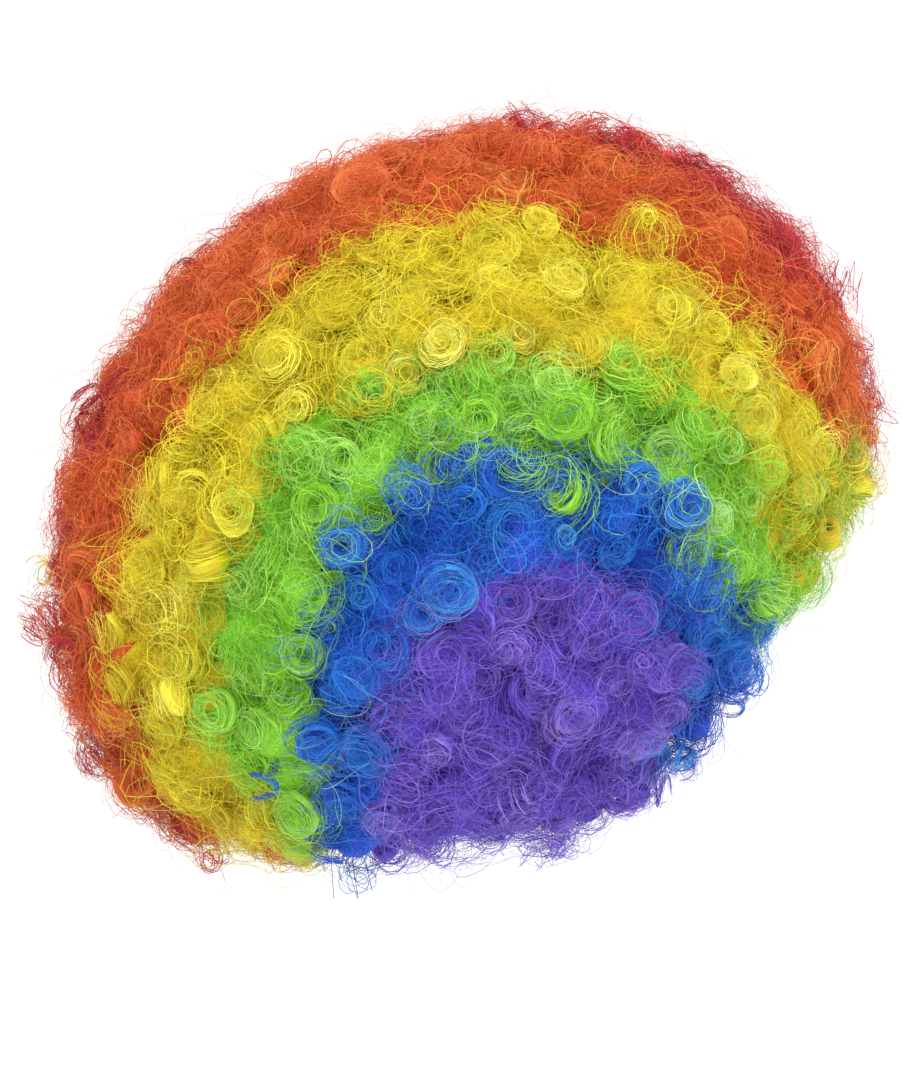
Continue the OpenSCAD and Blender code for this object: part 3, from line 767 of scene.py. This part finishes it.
def put_loose(d, paths, radius, colour, pale, below=0.3):
    """Keep loose fibres, which are paler at the tip than at the root."""
    put(section_of(d), paths, radius, dye_with_painted_shade(colour, pale - below), dye_with_painted_shade(colour, pale + 0.3), d)


def frizz():
    """Loose fibres among the locks."""
    d = random_directions(FRIZZ)
    d = d[bears_locks(d)]
    n = len(d)
    depth = 1 + 15 * rng.random(n) ** 1.2
    paths = crimped(d, depth, 12, 4.8)
    colour = lime(d, strand_colours(d, 2.2, 0.1))
    # Strands that lie deeper are darker: painted shade within the hair
    pale = rng.normal(1.5, 0.55, n) - depth / 18
    put_loose(d, paths, strand_radius(FRIZZ_STRAND, n), colour, pale)


def flyaways():
    """Fine fibres that reach out of the outline."""
    d = random_directions(FLYAWAYS)
    d = d[bears_locks(d)]
    n = len(d)
    reach = np.clip(rng.gamma(2.0, 4.5, n), 2, 17) + 7
    paths = crimped(d, rng.uniform(3, 9, n), 17, 3.2, reach)
    colour = lime(d, strand_colours(d, 2.5, 0.1))
    pale = rng.normal(1.2, 0.8, n)
    put_loose(d, paths, np.full(n, FLYAWAY_STRAND), colour, pale, 0)


def rope_curls():
    """Single curls of many fibres that cling together, at the edges of the hair."""
    count = (ROPE_FIBRES, 1, 3)
    for side in (1, -1):
        for angle, way, colour in ROPE_PLACES:
            d = ring_dir(angle + rng.normal(0, 1), way + rng.normal(0, 2))
            e1, e2 = basis(d)
            axis = unit(0.55 * d + e1 * rng.normal(0, 0.5) + e2 * rng.normal(0, 0.5))
            a1, a2 = basis(axis)
            s = np.linspace(0, 1, ROPE_POINTS)
            turn = rng.uniform(0, 6) + 2 * np.pi * rng.uniform(1.6, 2.6) * s ** rng.uniform(0.8, 1.2)
            coil = rng.uniform(6, 9) * (0.6 + 0.4 * np.sin(np.pi * s)) * (1 + 0.15 * np.sin(9 * s))
            line = (BALL + d * (tufted_radius(d) - 9) + axis * (17 * s - 4)[:, None]
                    + a1 * (coil * np.cos(turn))[:, None] + a2 * (coil * np.sin(turn))[:, None])
            paths = line[None] + rng.normal(0, 0.8, count)
            sway = turn[None, :, None] * rng.uniform(0.5, 1.5, count) + rng.uniform(0, 6, count)
            paths = paths + 0.5 * np.sin(sway)
            mirror = np.array([side, 1, 1])
            code = np.full(ROPE_FIBRES, section_of(d * mirror))
            # Darker at the root, inside the hair, and paler at the tip: painted shade and painted highlight
            shade = rng.normal(0.5, 0.4, ROPE_FIBRES)
            colours = np.full(ROPE_FIBRES, colour)
            put(code, paths * mirror, np.full(ROPE_FIBRES, ROPE_STRAND), dye_with_painted_shade(colours, shade - 0.3),
                dye_with_painted_shade(colours, shade + 0.5), np.tile(axis, (ROPE_FIBRES, 1)))


def nest_mesh(name, at, axis, radius, depth, pale, colour):
    """Combed coils as closed rings with a funnel in the middle, and a map of the combing called comb."""
    n, p, a = len(at), len(NEST_SECTION), NEST_AROUND
    turn = (2 * np.pi * np.arange(a) / a)[None, None, :]
    phase = rng.uniform(0, 2 * np.pi, (4, n, 1, 1))
    swell = 1 + 0.07 * np.sin(2 * turn + phase[0]) + 0.05 * np.sin(3 * turn + phase[1])
    r = radius[:, None, None] * NEST_SECTION[None, :, 0, None] * swell + rng.normal(0, 0.3, (n, p, a))
    z = depth[:, None, None] * NEST_SECTION[None, :, 1, None] + np.sin(2 * turn + phase[2])
    e1, e2 = basis(axis)
    pts = at[:, None, None, :] + rays(e1, r * np.cos(turn)) + rays(e2, r * np.sin(turn)) + rays(axis, z)
    cell, ring, step = np.meshgrid(np.arange(n), np.arange(p), np.arange(a), indexing="ij")
    corners = ((0, 0), (1, 0), (1, 1), (0, 1))
    quads = np.stack([(cell * p + (ring + k) % p) * a + (step + t) % a for k, t in corners], -1)
    mesh = bpy.data.meshes.new(name)
    mesh.from_pydata((pts.reshape(-1, 3) * MM).tolist(), [], quads.reshape(-1, 4).tolist())
    mesh.shade_smooth()
    # Painted shade down the funnel and the outer wall of each nest, and a painted highlight at its rim
    shade = pale[:, None] + NEST_PAINTED_SHADE[None, :] + rng.normal(0, 0.15, (n, p))
    tints = dye_with_painted_shade(np.repeat(colour[:, None], p, 1), shade)
    add_tints(mesh, np.repeat(tints[:, :, None, :], a, 2).reshape(-1, 3))
    grid = int(np.ceil(np.sqrt(n)))
    # How far along the section each point lies, in mm for a nest of 12 mm radius and 9 mm depth
    length = np.r_[0, np.cumsum(np.linalg.norm(np.diff(NEST_SECTION * [12, 9], axis=0), axis=1)), 26]
    own = rng.uniform(0, 400, (2, n, 1, 1))
    atlas, comb = [], []
    for k, t in corners:
        u, v = (step + t) / a, (ring + k) / p
        atlas.append(np.stack([cell % grid + 0.06 + 0.88 * u, cell // grid + 0.06 + 0.88 * v], -1) / grid)
        sway = np.sin(2 * turn + 2 * np.pi * 2 * t / a + phase[3]) * 0.8
        comb.append(np.stack([u * 6 + own[0], length[ring + k] * COMB_FINENESS + sway + own[1]], -1))
    add_map(mesh, "OFBake", np.stack(atlas, 3))
    add_map(mesh, "comb", np.stack(comb, 3))
    mesh.uv_layers.active = mesh.uv_layers["OFBake"]
    return mesh


def hair_pieces():
    """Meshes of all the strands and nests, some for each CAD section of curls."""
    fibre = fibre_material("dyed_fibre", 0.45)
    for code in sorted(pieces):
        node = section_name(code)
        faces = sum(len(b[0]) * (b[0].shape[1] - 1) * 6 for b in pieces[code])
        parts = int(np.ceil(faces / MAX_STRAND_FACES))
        for part in range(parts):
            share = [tuple(a[part::parts] for a in b) for b in pieces[code]]
            piece = new_object(f"{node}_locks_{part + 1}", tube_mesh(node, share))
            dress(piece, fibre, "cap", [node])
    combed = combed_material()
    for code in sorted(nests):
        node = section_name(code)
        values = [np.concatenate(column) for column in zip(*nests[code])]
        dress(new_object(node + "_nests", nest_mesh(node, *values)), combed, "cap", [node])


# ---------------------------------------------------------------- underlayer

BED_DEPTH = 15.0  # below the tips of the locks
BED_GAP = 12.0  # from the innermost hair
BED_EDGE, BED_FRINGE = 9, 6  # from the outline of the hair and of the fringe, in degrees
BED_BUMP = 1.8
BED_WAVES = [(41, 13, 23), (-17, 37, 29), (19, -31, 43)]


def bed_place(d):
    """Whether the underlayer fills the directions d, and their places on the rings."""
    angle, way = ring_place(d)
    outer = tufted_radius(d) - BED_DEPTH
    high = (BALL[2] + d[..., 2] * outer > LOWEST_LOCK + 10) & (outer - 8 > root_radius(d) + BED_GAP)
    low = (way <= FRINGE_WAY) & (angle >= FRINGE_START)
    inside = high & ~low & (angle < keyed(way, EDGE_LIMIT) - BED_EDGE)
    fringe = in_fringe(angle + 1, way) & (way > keyed(angle, FRINGE_LIMIT) + BED_FRINGE)
    return inside | fringe, angle, way


def bed():
    """The felted body of hair under the locks: one closed solid for each colour."""
    bm = bmesh.new()
    bmesh.ops.create_icosphere(bm, subdivisions=6, radius=1.0)
    d = unit(np.array([v.co[:] for v in bm.verts]))
    faces = np.array([[v.index for v in f.verts] for f in bm.faces])
    bm.free()
    centre = unit(d[faces].mean(1))
    wave = 3.0 * np.sin(centre @ np.array([23, 9, 31])) * np.sin(centre @ np.array([-11, 27, 17]))
    hair, angle, way = bed_place(centre)
    colour = patchy(centre, angle + wave, way, colour_at(np.maximum(angle + wave, 0), way, 1))
    bumps = BED_BUMP * sum(np.sin(d @ np.array(ripple)) for ripple in BED_WAVES)
    outer = BALL + d * (tufted_radius(d) - BED_DEPTH + bumps)[:, None]
    inner = BALL + d * np.minimum(root_radius(d) + BED_GAP, tufted_radius(d) - BED_DEPTH - 6)[:, None]
    for index, name in enumerate(COLOURS):
        used, local = np.unique(faces[hair & (colour == index)], return_inverse=True)
        local = local.reshape(-1, 3)
        k = len(used)
        edges = np.concatenate([local[:, [0, 1]], local[:, [1, 2]], local[:, [2, 0]]])
        have = {(a, b) for a, b in edges}
        rim = np.array([(a, b) for a, b in edges if (b, a) not in have])
        walls = np.stack([rim[:, 1], rim[:, 0], rim[:, 0] + k, rim[:, 1] + k], 1)
        mesh = bpy.data.meshes.new(name)
        verts = np.concatenate([outer[used], inner[used]]) * MM
        mesh.from_pydata(verts.tolist(), [], local.tolist() + (local[:, ::-1] + k).tolist() + walls.tolist())
        mesh.shade_smooth()
        nodes = [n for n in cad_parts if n.startswith("curls_" + name)]
        dress(new_object("hair_bed_" + name, mesh), bed_material(index), "cap", nodes)


# ---------------------------------------------------------------- the cap

# Offsets from the head form to the inside and outside of each layer
NET_IN, NET_OUT = 2.8, 3.4
RIM_OUT = 4.2
RIBBON_IN, RIBBON_OUT = 3.6, 4.2
STRAP_IN, STRAP_OUT = 1.2, 2.1
RIM_HEIGHT = 8.0
RIBBON_WIDTH = 12.0
STRAP_WIDTH = 7.0
SEAM = 0.3
FRONT_HALF = 48.0  # azimuth of the forehead band's ends
NET_PITCH = 2.9
NET_THREAD = 0.46
NET_LAYERS = ((1, NET_IN + 0.15), (-1, NET_OUT - 0.15))
OVERLOCK_PITCH, OVERLOCK_RADIUS = 2.4, 0.75
STRAP_FROM, STRAP_TO = 138.0, 121.0  # azimuths of the strap's ends at the hook and at the rim
ADJUSTER_AZIMUTH, ADJUSTER_DROP = 165.0, 5.5
TAB_AZIMUTH, TAB_WIDTH, TAB_LENGTH, TAB_THICKNESS = 69.0, 16.0, 20.0, 1.2
# Rounded edge of an ear tab from face to face: inset from its outline, and height as a share of 1.24
TAB_SECTION = [(4.5, -0.62), (0.9, -0.6), (0.25, -0.45), (0, 0), (0.25, 0.45), (0.9, 0.6), (4.5, 0.62)]


def mix(a, b, t):
    return a + (b - a) * t


def rim_height_at(azimuth):
    """Height of the cap's lower edge at an azimuth from the front."""
    a = np.mod(azimuth, 360)
    return keyed(np.minimum(a, 360 - a), RIM_LINE)


def rim_top(azimuth):
    return rim_height_at(azimuth) + RIM_HEIGHT


def crown_seam(azimuth):
    """Height of the seam between the crown net and the nets round the head."""
    return 60 + 22 * np.cos(np.radians(azimuth))


def latitude(z):
    """Angle above the head form's middle, in degrees, of a height on it."""
    return np.degrees(np.arcsin(np.clip((z - HEAD_MIDDLE) / HEAD[2], -1, 1)))


def head_point(azimuth, lat, off):
    """Points over the head form."""
    a, b = np.radians(azimuth), np.radians(lat)
    return np.stack([(HEAD[0] + off) * np.sin(a) * np.cos(b), -(HEAD[1] + off) * np.cos(a) * np.cos(b),
                     HEAD_MIDDLE + (HEAD[2] + off) * np.sin(b) + 0 * a], -1)


def cap_surface(start, stop, low, high):
    """Part of the cap between two azimuths and two heights, as a function of two shares and an offset."""
    def surface(u, v, off):
        azimuth = mix(start, stop, u)
        return head_point(azimuth, mix(latitude(low(azimuth)), latitude(high(azimuth)), v), off)
    return surface


def crown_surface(u, v, off):
    """The crown patch as a disc that fills a square of two shares."""
    x, y = 2 * u - 1, 2 * v - 1
    azimuth = np.degrees(np.arctan2(x, -y))
    edge = latitude(crown_seam(azimuth) + SEAM)
    return head_point(azimuth, mix(90, edge, np.minimum(np.hypot(x, y), 1)), off)


def ribbon_surface(direction, start, stop):
    """A ribbon over the crown, along (0) or across (1, -1) the head, between two angles."""
    across, along = (HEAD[1], HEAD[0]) if direction else (HEAD[0], HEAD[1])

    def surface(u, v, off):
        angle = np.radians(mix(start, stop, u))
        aside = mix(-RIBBON_WIDTH / 2, RIBBON_WIDTH / 2, v)
        curve = np.sqrt(1 - (aside / (across + off)) ** 2)
        rise = HEAD_MIDDLE + (HEAD[2] + off) * np.sin(angle) * curve
        run = (along + off) * np.cos(angle) * curve
        return np.stack([direction * run, direction * aside, rise] if direction else [aside, -run, rise], -1)
    return surface


def measure(surface, off):
    """Length along, width across and area of a surface, in metres."""
    u, v = np.meshgrid(np.linspace(0, 1, 61), np.linspace(0, 1, 21), indexing="ij")
    p = surface(u, v, off) * MM
    du, dv = np.linalg.norm(np.diff(p, axis=0), axis=2), np.linalg.norm(np.diff(p, axis=1), axis=2)
    a = np.cross(p[1:, :-1] - p[:-1, :-1], p[:-1, 1:] - p[:-1, :-1])
    return du.sum(0).mean(), dv.sum(1).mean(), np.linalg.norm(a, axis=2).sum()


def arc_length(surface, start, stop):
    """Length of the line between two places on a surface, in metres."""
    t = np.linspace(0, 1, 80)
    path = surface(mix(start[0], stop[0], t), mix(start[1], stop[1], t), NET_IN) * MM
    return np.linalg.norm(np.diff(path, axis=0), axis=1).sum()


def crown_area():
    """Area of the crown patch, in square metres."""
    a, r = np.meshgrid(np.linspace(0, 360, 91), np.linspace(0, 1, 31), indexing="ij")
    p = head_point(a, mix(90, latitude(crown_seam(a)), r), NET_IN) * MM
    return np.linalg.norm(np.cross(p[1:, :-1] - p[:-1, :-1], p[:-1, 1:] - p[:-1, :-1]), axis=2).sum()


def band(name, surface, inner, outer, cell, relief=None):
    """A closed strip of fabric between two offsets, thinner along its edges, with a map of its weave."""
    length, width, _ = measure(surface, outer)
    cols, rows = max(4, round(length / MM / cell)), max(4, round(width / MM / cell))
    u, v = np.meshgrid(np.linspace(0, 1, cols + 1), np.linspace(0, 1, rows + 1), indexing="ij")
    edge = np.minimum(np.minimum(v, 1 - v) * width, np.minimum(u, 1 - u) * length) / MM
    half = (outer - inner) / 2 * (0.35 + 0.65 * np.sqrt(np.clip(edge / 0.6, 0, 1)))
    lift = relief(v * width / MM) if relief else 0 * u
    top = surface(u, v, (inner + outer) / 2 + half + lift)
    low = surface(u, v, (inner + outer) / 2 - half - lift)
    k = u.size
    index = np.arange(k).reshape(u.shape)
    cells = np.stack([index[:-1, :-1], index[1:, :-1], index[1:, 1:], index[:-1, 1:]], -1).reshape(-1, 4)
    loop = np.r_[index[:-1, 0], index[-1, :-1], index[:0:-1, -1], index[0, :0:-1]]
    after = np.roll(loop, -1)
    walls = np.stack([loop, loop + k, after + k, after], 1)
    faces = np.concatenate([cells, cells[:, ::-1] + k, walls])
    mesh = bpy.data.meshes.new(name)
    verts = np.concatenate([top.reshape(-1, 3), low.reshape(-1, 3)]) * MM
    mesh.from_pydata(verts.tolist(), [], faces.tolist())
    weave = np.stack([u * length / MM, v * width / MM], -1).reshape(-1, 2)
    add_map(mesh, "weave", np.concatenate([weave, weave])[faces.ravel()])
    tidy_normals(mesh)
    mesh.shade_smooth()
    return new_object(name, mesh)


def threads(name, paths, radius, tint, sides=3):
    """Threads of one colour, each a little lighter or darker, as one piece."""
    paths = np.asarray(paths, float)
    n = len(paths)
    tints = np.tile(np.asarray(tint, float), (n, 1)) * rng.uniform(0.85, 1.08, (n, 1))
    up = unit(paths.mean(1) - [0, 0, HEAD_MIDDLE])
    return new_object(name, tube_mesh(name, [(paths, np.full(n, radius), tints, tints, up)], sides))


def net_lines(surface, length, width, points):
    """Two families of slanted threads over a panel of the cap."""
    lines = []
    for way, off in NET_LAYERS:
        slope = way * width / length
        step = NET_PITCH * np.sqrt(2) / (length / MM)
        for start in np.arange(-abs(slope) + step / 2, 1 + abs(slope), step):
            ends = sorted([(0 - start) / slope, (1 - start) / slope])
            t0, t1 = max(0, ends[0]), min(1, ends[1])
            if t1 - t0 > 0.03:
                v = np.linspace(t0, t1, points)
                lines.append(surface(start + slope * v, v, off))
    return lines


def crown_lines(length, points):
    """Two families of slanted threads over the crown patch."""
    lines = []
    for way, off in NET_LAYERS:
        step = NET_PITCH * np.sqrt(2) / (length / MM)
        turn = np.radians(45 * way)
        for x in np.arange(-1 + step / 2, 1, step * 1.22):
            reach = np.sqrt(1 - x * x)
            y = np.linspace(-reach, reach, points)
            px, py = x * np.cos(turn) - y * np.sin(turn), x * np.sin(turn) + y * np.cos(turn)
            lines.append(crown_surface((px + 1) / 2, (py + 1) / 2, off))
    return lines


def on_cap(azimuth, z, off):
    """Origin and axes (along the rim to the back, outward, down) of a small part on the left of the cap."""
    lat = latitude(z)
    a, b = np.radians(azimuth), np.radians(lat)
    n = unit(np.array([np.sin(a) * np.cos(b), -np.cos(a) * np.cos(b), np.sin(b)]) / HEAD)
    u = unit(np.cross([0, 0, 1], n))
    return head_point(np.array(azimuth), np.array(lat), off), np.array([u, n, np.cross(u, n)])


def nets():
    """The stretch nets of the cap, knitted as two families of threads."""
    yarn = fibre_material("net_yarn", 0.75)
    low = lambda a: rim_top(a) + 2 * SEAM
    high = lambda a: crown_seam(a) - SEAM
    white = linear((226, 224, 218))
    areas = {
        "forehead_band": (-FRONT_HALF, FRONT_HALF),
        "side_net_left": (FRONT_HALF + 0.4, 132.0),
        "side_net_right": (-132.0, -FRONT_HALF - 0.4),
        "nape_net": (132.4, 227.6),
    }
    for name, (start, stop) in areas.items():
        surface = cap_surface(start, stop, low, high)
        length, width, area = measure(surface, NET_IN)
        piece = threads(name + "_mesh", net_lines(surface, length, width, 22), NET_THREAD, white)
        dress(piece, yarn, "cap", [name])
    length = measure(crown_surface, NET_IN)[0]
    piece = threads("crown_net_mesh", crown_lines(length, 44), NET_THREAD, white)
    dress(piece, yarn, "cap", ["crown_net"])
    cut = [arc_length(crown_surface, *line) for line in (((0, 0.5), (1, 0.5)), ((0.5, 0), (0.5, 1)))]
    crown_area()
    seam_cords(yarn, high)


def seam_cords(yarn, high):
    """Overlocked seams where the panels of net meet."""
    turn = np.linspace(0, 360, 721)
    middle = (NET_IN + NET_OUT) / 2
    seams = [head_point(turn, latitude(crown_seam(turn)), middle)]
    for azimuth in (FRONT_HALF + 0.2, 132.2, 227.8, 360 - FRONT_HALF - 0.2):
        a = np.full(90, azimuth)
        z = mix(rim_top(a), high(a), np.linspace(0, 1, 90))
        seams.append(head_point(a, latitude(z), middle))
    for number, path in enumerate(seams):
        out = unit(path - [0, 0, HEAD_MIDDLE])
        across = np.cross(out, unit(np.gradient(path, axis=0)))
        step = np.linalg.norm(np.diff(path, axis=0), axis=1).mean()
        fine = np.arange(len(path) * 3) / 3
        phase = (2 * np.pi * fine * step / OVERLOCK_PITCH)[:, None]
        line = np.stack([np.interp(fine, np.arange(len(path)), path[:, k]) for k in range(3)], 1)
        side, top = np.repeat(across, 3, 0), np.repeat(out, 3, 0)
        coil = line + OVERLOCK_RADIUS * (side * np.cos(phase) + top * np.sin(phase))
        piece = threads(f"net_seam_{number + 1}", np.stack([line, coil]), 0.3, linear((214, 212, 206)))
        dress(piece, yarn, "cap", None)


def rims():
    """Ribbed elastic round the edge of the cap, with a zigzag of stitches."""
    elastic = woven("elastic_band", (196, 196, 192), (240, 240, 236), 0.7)
    thread = fibre_material("sewing_thread", 0.5)
    ribs = lambda y: 0.12 * np.cos(2 * np.pi * y / 1.6) * np.clip((RIM_HEIGHT - y) * y, 0, 1)
    lengths = {"front": (-56, 56), "left": (56.4, 124), "nape": (124.4, 235.6), "right": (-124, -56.4)}
    for name, (start, stop) in lengths.items():
        surface = cap_surface(start, stop, rim_height_at, rim_top)
        piece = band(f"rim_elastic_{name}_band", surface, NET_IN, RIM_OUT - 0.1, 0.8, ribs)
        dress(piece, elastic, "cap", ["rim_elastic_" + name])
        count = int(measure(surface, NET_IN)[0] / MM / 1.6)
        corner = np.arange(count)
        fine = np.linspace(0, count - 1, count * 3)
        u = np.interp(fine, corner, (corner + 0.5) / count)
        v = np.interp(fine, corner, np.where(corner % 2, 0.3, 0.7))
        rows = [surface(u, v, RIM_OUT + 0.02), surface(u, v, NET_IN - 0.02)]
        stitch = threads(f"rim_stitch_{name}", rows, 0.2, linear((250, 250, 248)))
        dress(stitch, thread, "cap", None)


def ribbons():
    """Satin ribbons over the seams of the crown, and the blank label in the nape."""
    satin = woven("satin_ribbon", (200, 200, 205), (236, 236, 240), 0.35, 0.4, 0.25)
    edge = np.degrees(np.arccos((RIBBON_WIDTH / 2 + 1) / HEAD[0]))
    for name, surface in (("long", ribbon_surface(0, 38, 198)), ("left", ribbon_surface(1, 8, edge)),
                          ("right", ribbon_surface(-1, 8, edge))):
        piece = band(f"crown_ribbon_{name}", surface, RIBBON_IN, RIBBON_OUT, 1.4)
        length, width, area = measure(surface, RIBBON_IN)
        dress(piece, satin, "cap", ["crown_ribbons"])
    label_face = cap_surface(171, 189, lambda a: 0 * a - 26, lambda a: 0 * a - 12)
    label = band("blank_label_satin", label_face, 1.4, 1.8, 0.7)
    length, width, area = measure(label_face, 1.4)
    cloth = woven("satin_label", (232, 232, 230), (252, 252, 250), 0.25, 0.45, 0.2)
    dress(label, cloth, "cap", ["blank_label"])


def straps():
    """Elastic straps from the rim down to the hooks."""
    webbing = woven("strap_elastic", (205, 205, 200), (244, 244, 240), 0.6)
    hook_z = rim_height_at(ADJUSTER_AZIMUTH) - ADJUSTER_DROP + 1

    def low(a):
        turned = np.minimum(a, 360 - a)
        rise = ((STRAP_FROM - turned) / (STRAP_FROM - STRAP_TO)) ** 2
        return mix(hook_z - STRAP_WIDTH / 2, rim_height_at(STRAP_TO) + 0.5, rise)

    high = lambda a: low(a) + STRAP_WIDTH - 0.4
    ribs = lambda y: 0.07 * np.cos(2 * np.pi * y / 1.3)
    for side, start, stop in (("left", STRAP_TO, STRAP_FROM), ("right", 360 - STRAP_TO, 360 - STRAP_FROM)):
        surface = cap_surface(start, stop, low, high)
        piece = band(f"strap_{side}_webbing", surface, STRAP_IN, STRAP_OUT - 0.08, 0.7, ribs)
        piece.data.materials.append(webbing)
        sewn, held = surface(np.array([0.06, 0.94]), 0.5, STRAP_IN) * MM
        tuple(sewn)
        tuple(held)
        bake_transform(piece)
        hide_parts("strap_" + side)


def ear_tabs():
    """Felt tabs with rounded ends, a rolled hem to turn on and a row of stitches round both faces."""
    grey = felt("tab_felt", (150, 150, 152), (200, 200, 202))
    thread = bpy.data.materials["sewing_thread"]
    turn = np.radians(np.linspace(0, 180, 33))
    half = TAB_WIDTH / 2
    straight = np.linspace(0, TAB_LENGTH - half, 14)[:-1]

    def outline(inset):
        w = half - inset
        x = np.r_[np.full(len(straight), w), w * np.cos(turn), np.full(len(straight), -w)]
        z = np.r_[straight, TAB_LENGTH - half + w * np.sin(turn), straight[::-1]]
        return x, np.maximum(z, inset * 0.4)

    for side, body in ((1, "ear_tab_left"), (-1, "ear_tab_right")):
        origin, axes = on_cap(TAB_AZIMUTH, rim_height_at(TAB_AZIMUTH) - 1.6, NET_IN + 0.9)

        def place(x, y, z):
            return (origin + np.stack([x, y, z], -1) @ axes) * [side, 1, 1]

        loops = []
        for inset, y in TAB_SECTION:
            x, z = outline(inset)
            loops.append(place(x, np.full(len(x), y * TAB_THICKNESS / 1.24), z))
        pts = np.array(loops)
        index = np.arange(pts.size // 3).reshape(pts.shape[:2])
        here, after = index[:-1], index[1:]
        quads = np.stack([here, np.roll(here, -1, 1), np.roll(after, -1, 1), after], -1).reshape(-1, 4)
        mesh = bpy.data.meshes.new(body)
        ends = [index[0].tolist(), index[-1, ::-1].tolist()]
        mesh.from_pydata((pts.reshape(-1, 3) * MM).tolist(), [], quads.tolist() + ends)
        tidy_normals(mesh)
        mesh.shade_smooth()
        tab = dress(new_object(body + "_felt", mesh), grey, body, [body])
        rod = np.stack([place(np.linspace(-half, half, 12), np.zeros(12), np.zeros(12))])
        hem = threads(body + "_hem", rod, 0.9, linear((206, 206, 208)), 12)
        dress(hem, grey, body, None)
        x, z = outline(1.6)
        dash, gap = 3, 2
        runs = [np.arange(k, k + dash) for k in range(0, len(x) - dash, dash + gap)]
        rows = [place(x[k], np.full(dash, y), z[k]) for k in runs for y in (0.66, -0.66)]
        stitches = threads(body + "_stitches", rows, 0.16, linear((245, 245, 245)))
        dress(stitches, thread, body, None)


def reface(node, material):
    """Put a material on a CAD node in place of its own."""
    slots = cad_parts[node].data.materials
    slots.clear()
    slots.append(material)


def small_parts():
    """Materials for the CAD parts that stay: hooks, loop tapes and wefts."""
    nylon = moulded("hook_nylon", (36, 36, 38), (58, 58, 62))
    tape = felt("loop_tape", (206, 206, 202), (244, 244, 240))
    for side in ("left", "right"):
        reface("hook_" + side, nylon)
        reface("loop_tape_" + side, tape)
    for index, name in enumerate(COLOURS):
        weft = stitched("weft_" + name, index)
        for node in [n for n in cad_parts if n.startswith("wefts_" + name)]:
            reface(node, weft)


# ---------------------------------------------------------------- stage, in metres

CAMERA_AZIMUTH = np.radians(258)
CAMERA_DISTANCE = 1.8
VIEW_HEIGHT = 0.54
AIM_RIGHT, AIM_UP = -0.00625, 0.0225
FLOOR = -0.45


def camera():
    """Level with the wig, from its right side and a little behind."""
    data = bpy.data.cameras.new("camera")
    data.sensor_width = 36
    data.lens = data.sensor_width * CAMERA_DISTANCE / VIEW_HEIGHT
    obj = new_object("camera", data)
    right = np.array([np.cos(CAMERA_AZIMUTH), np.sin(CAMERA_AZIMUTH), 0])
    away = np.array([np.sin(CAMERA_AZIMUTH), -np.cos(CAMERA_AZIMUTH), 0])
    obj.location = AIM_RIGHT * right + np.array([0, 0, AIM_UP]) + away * CAMERA_DISTANCE
    obj.rotation_euler = (np.pi / 2, 0, CAMERA_AZIMUTH)
    bpy.context.scene.camera = obj


def lamp(name, azimuth, elevation, size, power, distance=2.2):
    data = bpy.data.lights.new(name, "AREA")
    data.size = size
    data.energy = power
    obj = new_object(name, data)
    a, e = np.radians(azimuth), np.radians(elevation)
    obj.location = np.array([np.sin(a) * np.cos(e), -np.cos(a) * np.cos(e), np.sin(e)]) * distance
    obj.rotation_euler = (np.pi / 2 - e, 0, a)


def stage():
    """A white floor and studio light."""
    bpy.ops.mesh.primitive_plane_add(size=6, location=(0, 0, FLOOR))
    floor = bpy.context.object
    floor.name = "floor"
    floor.data.materials.append(Look("floor_white", 0.9).shade({"Base Color": (0.95, 0.95, 0.95, 1)}))
    world = bpy.data.worlds.new("studio")
    bpy.context.scene.world = world
    world.use_nodes = True
    background = world.node_tree.nodes["Background"]
    background.inputs["Color"].default_value = (1, 1, 1, 1)
    background.inputs["Strength"].default_value = 1.1
    bpy.context.scene.view_settings.view_transform = "Standard"
    lamp("key", 235, 50, 1.4, 38)
    lamp("front_fill", 300, 15, 1.6, 20)


# ---------------------------------------------------------------- build

outer_locks()
stray_locks()
edge_locks()
inner_locks()
inner_frizz()
frizz()
flyaways()
rope_curls()
hair_pieces()
bed()
nets()
rims()
ribbons()
straps()
ear_tabs()
small_parts()
camera()
stage()
